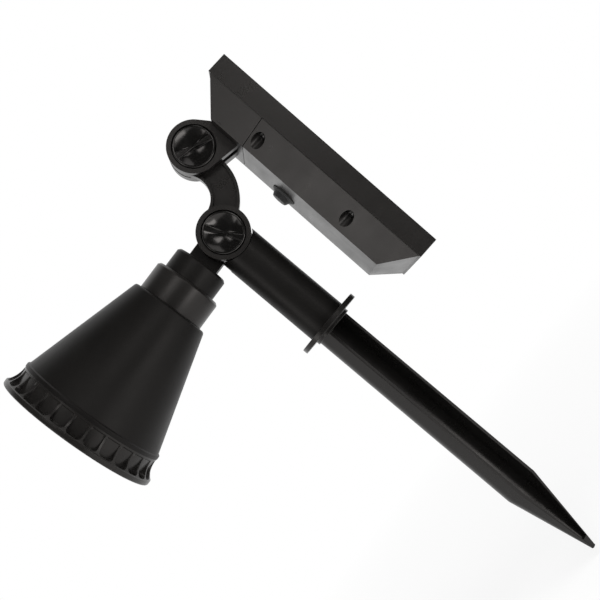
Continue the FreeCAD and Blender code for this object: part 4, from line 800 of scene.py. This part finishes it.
class SPOTLIGHT_OT_shell(bpy.types.Operator):
    """Model the conical lamp shell with its bead and spigot"""
    bl_idname = "spotlight.shell"
    bl_label = "Lamp shell"

    def execute(self, context):
        lamp = sizes("lamp")
        wide = lamp.shell_wide + lamp.bead
        bead_start = lamp.shell_end - lamp.bead_length
        ceiling = lamp.shell_start + lamp.shell_roof
        root = lamp.ledge_end - 2 * lamp.ledge_height
        bead_ramp = 0.6 * MM
        cone = lamp.shell_end - lamp.shell_start - lamp.shell_shoulder
        slope = (lamp.shell_wide - lamp.shell_small) / cone

        def inner(height):
            rise = height - lamp.shell_start - lamp.shell_shoulder
            return lamp.shell_small + slope * rise - lamp.shell_wall

        section = soften([
            (lamp.neck_hole, lamp.shell_start, 0.2 * MM),
            (lamp.shell_small - slope * lamp.shell_shoulder, lamp.shell_start, 1.9 * MM),
            (lamp.shell_wide, bead_start - bead_ramp, 0.5 * MM), (wide, bead_start, 0.4 * MM),
            (wide, lamp.shell_end, 0.3 * MM), (lamp.spigot_radius, lamp.shell_end, 0.1 * MM),
            (lamp.spigot_radius, lamp.spigot_end, 0.2 * MM),
            (lamp.spigot_inner, lamp.spigot_end, 0.2 * MM),
            (lamp.spigot_inner, lamp.ledge_end, 0.1 * MM),
            (lamp.ledge_radius, lamp.ledge_end, 0.3 * MM),
            (lamp.ledge_radius, lamp.ledge_end - lamp.ledge_height, 0.3 * MM),
            (inner(root), root, 0.5 * MM), (inner(ceiling), ceiling, 0.8 * MM),
            (lamp.neck_hole, ceiling, 0.2 * MM)])
        make_piece("shell_cone", revolve(section, SHELL_STEPS), lamp_frame(), "lamp plastic",
                   "lamp_head", ["lamp_shell"])
        return {"FINISHED"}


class SPOTLIGHT_OT_bezel(bpy.types.Operator):
    """Model the flared bezel with its scooped flutes"""
    bl_idname = "spotlight.bezel"
    bl_label = "Fluted bezel"

    def execute(self, context):
        lamp = sizes("lamp")
        low, high = lamp.flute_start, lamp.flute_end
        lip_start = lamp.bezel_end - lamp.lip_length
        pitch = 2 * pi / lamp.flute_count
        across_rib = (0.0, 0.6, 1.0)
        quarters = (0.25, 0.5, 0.75, 1.0)
        half_steps = len(across_rib) + 2 * len(quarters) - 1
        flare_power = 2.4
        lip_step = 0.25 * MM
        scooped_from = lamp.bezel_root - 0.1 * MM

        def flare(height):
            """Outer radius of the trumpet-shaped flare."""
            part = (height - lamp.shell_end) / (lip_start - lamp.shell_end)
            return lamp.bezel_root + (lamp.bezel_flare - lamp.bezel_root) * part ** flare_power

        def half_pitch(height):
            """(angle from the rib's middle, depth share) of the points of half a pitch."""
            corner = max(0.0, 1.0 - (high - height) / lamp.pocket_corner)
            rib = (lamp.rib + lamp.pocket_corner * (1.0 - sqrt(max(0.0, 1.0 - corner ** 2)))
                   ) / lamp.flute_floor
            wall = lamp.pocket_wall / lamp.flute_floor
            rest = pitch / 2 - rib - wall
            points = [(rib * part, 0.0) for part in across_rib]
            points += [(rib + wall * part, part * part * (3 - 2 * part)) for part in quarters]
            return points + [(rib + wall + rest * part, 1.0) for part in quarters]

        def scoop(radius, height, step):
            flute, place = divmod(step, 2 * half_steps)
            points = half_pitch(min(max(height, low), high))
            angle, depth = points[min(place, 2 * half_steps - place)]
            if place > half_steps:
                angle = pitch - angle
            if radius > scooped_from and low < height < high:
                radius -= max(0.0, radius - lamp.flute_floor) * depth
            return radius, flute * pitch + angle

        parts = [0.0, 0.05, 0.12, 0.2, 0.3, 0.4, 0.5, 0.6, 0.68, 0.75, 0.81, 0.86, 0.9, 0.93,
                 0.955, 0.975, 0.985, 1.0]
        heights = [low + (high - low) * part for part in parts]
        section = soften(
            [(lamp.bezel_bore, lamp.shell_end, 0.1 * MM), (lamp.bezel_root, lamp.shell_end, 0.0)]
            + [(flare(height), height, 0.0) for height in heights]
            + [(lamp.bezel_flare, lip_start, 0.0),
               (lamp.bezel_lip, lip_start + lip_step, 0.2 * MM),
               (lamp.bezel_lip, lamp.bezel_end, 1.0 * MM),
               (lamp.bezel_throat, lamp.bezel_end, 0.5 * MM),
               (lamp.bezel_throat, lamp.lens_front, 0.1 * MM),
               (lamp.bezel_bore, lamp.lens_front, 0.0)])
        make_piece("fluted_bezel",
                   revolve(section, lamp.flute_count * 2 * half_steps, shape=scoop),
                   lamp_frame(), "case plastic", "lamp_head", ["bezel_ring"], sharp=40)
        return {"FINISHED"}


class SPOTLIGHT_OT_light(bpy.types.Operator):
    """Model the lens and finish the seal, reflector, light board and its screws"""
    bl_idname = "spotlight.light"
    bl_label = "Lens and light board"

    def execute(self, context):
        lamp = sizes("lamp")
        play = 0.1 * MM
        edge = lamp.spigot_radius - play
        section = soften([(0.0, lamp.lens_back, 0.0), (edge, lamp.lens_back, 0.3 * MM),
                          (edge, lamp.lens_front, 0.3 * MM), (0.0, lamp.lens_front, 0.0)])
        make_piece("clear_lens", revolve(section, ROUND_STEPS), lamp_frame(), "clear lens",
                   "lamp_head", ["lamp_lens"])
        dress("lens_seal", "rubber", "small")
        dress("reflector", "metallised cups")
        dress("led_board", "white mask", "small")
        dress("led_chips", "phosphor", "small")
        dress("led_board_screws", "plated steel", "small")
        return {"FINISHED"}


class SPOTLIGHT_OT_case(bpy.types.Operator):
    """Finish the panel case: front frame, hinge block, battery cover and gasket"""
    bl_idname = "spotlight.case"
    bl_label = "Panel case"

    def execute(self, context):
        for part in ("solar_frame", "hinge_block", "battery_cover"):
            dress(part, "case plastic", "case")
        dress("case_gasket", "rubber")
        return {"FINISHED"}


class SPOTLIGHT_OT_solar(bpy.types.Operator):
    """Finish the solar cells, their backing board and the clear sheet"""
    bl_idname = "spotlight.solar"
    bl_label = "Solar face"

    def execute(self, context):
        dress("solar_backing", "backing board")
        dress("solar_cells", "solar cell")
        dress("solar_clear_sheet", "clear sheet", "small")
        return {"FINISHED"}


class SPOTLIGHT_OT_button(bpy.types.Operator):
    """Model the rubber mode button and its foot ring"""
    bl_idname = "spotlight.button"
    bl_label = "Mode button"

    def execute(self, context):
        button = sizes("button")
        foot = soften([
            (button.foot_hole, 0.0, 0.0), (button.foot_radius, 0.0, 0.0),
            (button.foot_radius, button.foot_edge, 0.25 * MM),
            (button.foot_hole + button.foot_top, button.foot_height, 0.3 * MM),
            (button.foot_hole, button.foot_height, 0.12 * MM)])
        make_piece("button_foot", revolve(foot, BUTTON_STEPS), button_frame(), "rubber",
                   "panel_case", ["button_foot_ring"])
        cap = soften([
            (0.0, button.cap_height, 0.0), (button.cap_top, button.cap_height, 0.9 * MM),
            (button.cap_radius, button.foot_height, 0.3 * MM),
            (button.cap_radius, button.cap_start, 0.1 * MM),
            (button.plunger_radius, button.cap_start, 0.2 * MM),
            (button.plunger_radius, -button.plunger_end, 0.2 * MM),
            (0.0, -button.plunger_end, 0.0)], steps=6)
        make_piece("button_cap", revolve(cap, BUTTON_STEPS), button_frame(), "rubber",
                   "button", ["mode_button"])
        return {"FINISHED"}


class SPOTLIGHT_OT_inside(bpy.types.Operator):
    """Finish what the case holds: battery, holder, contacts, control board and switch"""
    bl_idname = "spotlight.inside"
    bl_label = "Inside the case"

    def execute(self, context):
        for part, finish in (("battery_cell", "battery sleeve"),
                             ("battery_holder", "inner plastic"),
                             ("battery_contacts", "plated steel"),
                             ("control_board", "green mask"),
                             ("control_board_parts", "inner plastic"),
                             ("mode_switch", "inner plastic"), ("switch_stem", "inner plastic")):
            dress(part, finish, "small")
        return {"FINISHED"}


class SPOTLIGHT_OT_fasteners(bpy.types.Operator):
    """Finish the screws, bolts and nuts"""
    bl_idname = "spotlight.fasteners"
    bl_label = "Fasteners"

    def execute(self, context):
        for part in ("lower_hinge_bolt", "upper_hinge_bolt", "lower_hinge_nut",
                     "upper_hinge_nut", "hinge_block_screws", "control_board_screws"):
            dress(part, "plated steel", "small")
        dress("battery_cover_screws", "black steel", "small")
        return {"FINISHED"}


# ---- studio

def white_room(level):
    """World that lights the part evenly and shows white behind it and in its reflections."""
    world = bpy.data.worlds.new("white room")
    bpy.context.scene.world = world
    world.use_nodes = True
    room = Nodes(world.node_tree)
    lighting = room.tree.nodes["Background"]
    room.put(lighting.inputs["Color"], WHITE)
    room.put(lighting.inputs["Strength"], level)
    backdrop = room.add("ShaderNodeBackground", Color=WHITE)
    room.show("World Output", room.seen(), lighting, backdrop)


def pale_floor(height, side, shade, start, end):
    """White sheet on the floor: mostly white to the eye, with the part's soft shadow on it,
    which fades out between two distances."""
    mesh = bmesh.new()
    bmesh.ops.create_grid(mesh, x_segments=8, y_segments=8, size=side / 2,
                          matrix=Matrix.Translation((0.0, 0.0, height)))
    finish = Finish("white paper", (0.92, 0.92, 0.92), 0.9)
    finish.vary_colour(finish.noise(3.0), 0.985, 1.0)
    away = finish.add("ShaderNodeVectorMath", Vector=finish.place)
    away.operation = "LENGTH"
    white = finish.ranged(away.outputs["Value"], 1.0 - shade, 1.0, start=start, end=end)
    finish.show("Material Output", finish.maths("MULTIPLY", finish.seen(), white),
                finish.shader, finish.add("ShaderNodeEmission"))
    floor = from_mesh("floor_sheet", mesh, finish.material)


def dark_card(width, bends):
    """Matt black card before and above the near side, which only the part's gloss sees; bends
    are the (Y, Z) of its edges and folds."""
    mesh = bmesh.new()
    rows = [[mesh.verts.new((side * width / 2, *bend)) for side in (-1, 1)] for bend in bends]
    for low, high in zip(rows, rows[1:]):
        mesh.faces.new((low[0], low[1], high[1], high[0]))
    finish = Finish("black card", (0.012, 0.012, 0.012), 0.9, Specular_IOR_Level=0.2)
    finish.vary_colour(finish.noise(20.0), 0.8, 1.2)
    card = from_mesh("dark_card", mesh, finish.material)
    card.visible_camera = card.visible_diffuse = card.visible_shadow = False


def softbox(name, place, size, power, aim, shines=True):
    """Softbox that looks at a point; where shines is off, nothing mirrors it."""
    name += "_softbox"
    lamp = bpy.data.lights.new(name, "AREA")
    lamp.shape = "RECTANGLE"
    lamp.size, lamp.size_y = size
    lamp.energy = power
    box = in_scene(name, lamp)
    box.location = place
    box.rotation_euler = (aim - Vector(place)).to_track_quat("-Z", "Y").to_euler()
    box.visible_camera = False
    box.visible_glossy = shines


def photo_camera(place, turned, lens):
    """Camera that stands where the photograph was taken from, rolled as it was."""
    camera = bpy.data.cameras.new("photo camera")
    camera.lens = lens
    camera.sensor_width = SENSOR_WIDTH
    holder = in_scene("photo_camera", camera)
    holder.matrix_world = Matrix.LocRotScale(Vector(place), Euler(turned), None)
    bpy.context.scene.camera = holder


class SPOTLIGHT_OT_stage(bpy.types.Operator):
    """Set up the camera, the softboxes, the white room, the floor and the dark card"""
    bl_idname = "spotlight.stage"
    bl_label = "Studio"

    def execute(self, context):
        studio = sizes("studio")
        context.scene.view_settings.view_transform = "Standard"
        white_room(studio.world_level)
        pale_floor(studio.floor_height, studio.floor_size, studio.floor_shade,
                   studio.shade_start, studio.shade_end)
        middle = (Vector(CAD_BOX[0]) + Vector(CAD_BOX[1])) / 2
        knobs = (LOWER_PIVOT + UPPER_PIVOT) / 2
        fold = studio.card_fold
        dark_card(studio.card_width, [(-studio.card_foot, studio.floor_height),
                                      (-studio.card_bend, fold * studio.card_height),
                                      (-fold * studio.card_bend, studio.card_height),
                                      (studio.card_reach, studio.card_height)])
        softbox("fill", (0.15, -0.45, 0.85), (0.7, 0.5), studio.fill_power, middle, shines=False)
        softbox("low", (0.1, -0.27, -0.165), (0.3, 0.12), studio.low_power, knobs)
        softbox("side", (-0.76, -0.55, 0.05), (0.6, 0.45), studio.side_power, middle)
        softbox("right_spot", (0.349, -0.633, 0.156), (0.26, 0.26), studio.right_power, knobs)
        softbox("high_spot", (-0.007, -0.64, 0.425), (0.26, 0.26), studio.high_power, knobs)
        photo_camera(studio.camera_place, studio.camera_turn, studio.lens)
        return {"FINISHED"}


class SPOTLIGHT_PT_pieces(bpy.types.Panel):
    """Lists the pieces of the spotlight"""
    bl_idname = "SPOTLIGHT_PT_pieces"
    bl_label = "Garden spike spotlight"
    bl_space_type = "VIEW_3D"
    bl_region_type = "UI"
    bl_category = "Spotlight"

    def draw(self, context):
        for operator in OPERATORS:
            self.layout.operator(operator.bl_idname)
        for name in GROUPS:
            group = sizes(name)
            box = self.layout.box()
            for key in group.bl_rna.properties.keys():
                if key not in ("rna_type", "name"):
                    box.prop(group, key)


GROUPS = {
    "lamp": SpotlightLampSizes,
    "knobs": SpotlightKnobSizes,
    "button": SpotlightButtonSizes,
    "edges": SpotlightEdges,
    "finish": SpotlightFinish,
    "studio": SpotlightStudio,
}

OPERATORS = (
    SPOTLIGHT_OT_spike,
    SPOTLIGHT_OT_hinges,
    SPOTLIGHT_OT_knobs,
    SPOTLIGHT_OT_neck,
    SPOTLIGHT_OT_shell,
    SPOTLIGHT_OT_bezel,
    SPOTLIGHT_OT_light,
    SPOTLIGHT_OT_case,
    SPOTLIGHT_OT_solar,
    SPOTLIGHT_OT_button,
    SPOTLIGHT_OT_inside,
    SPOTLIGHT_OT_fasteners,
    SPOTLIGHT_OT_stage,
)


def register():
    for name, group in GROUPS.items():
        bpy.utils.register_class(group)
        setattr(bpy.types.Scene, "spotlight_" + name, PointerProperty(type=group))
    for item in (*OPERATORS, SPOTLIGHT_PT_pieces):
        bpy.utils.register_class(item)


def unregister():
    for item in (SPOTLIGHT_PT_pieces, *reversed(OPERATORS)):
        bpy.utils.unregister_class(item)
    for name, group in GROUPS.items():
        delattr(bpy.types.Scene, "spotlight_" + name)
        bpy.utils.unregister_class(group)


def main():
    """Build every piece and the stage."""
    register()
    for operator in OPERATORS:
        family, action = operator.bl_idname.split(".")
        getattr(getattr(bpy.ops, family), action)()


if __name__ == "__main__":
    main()
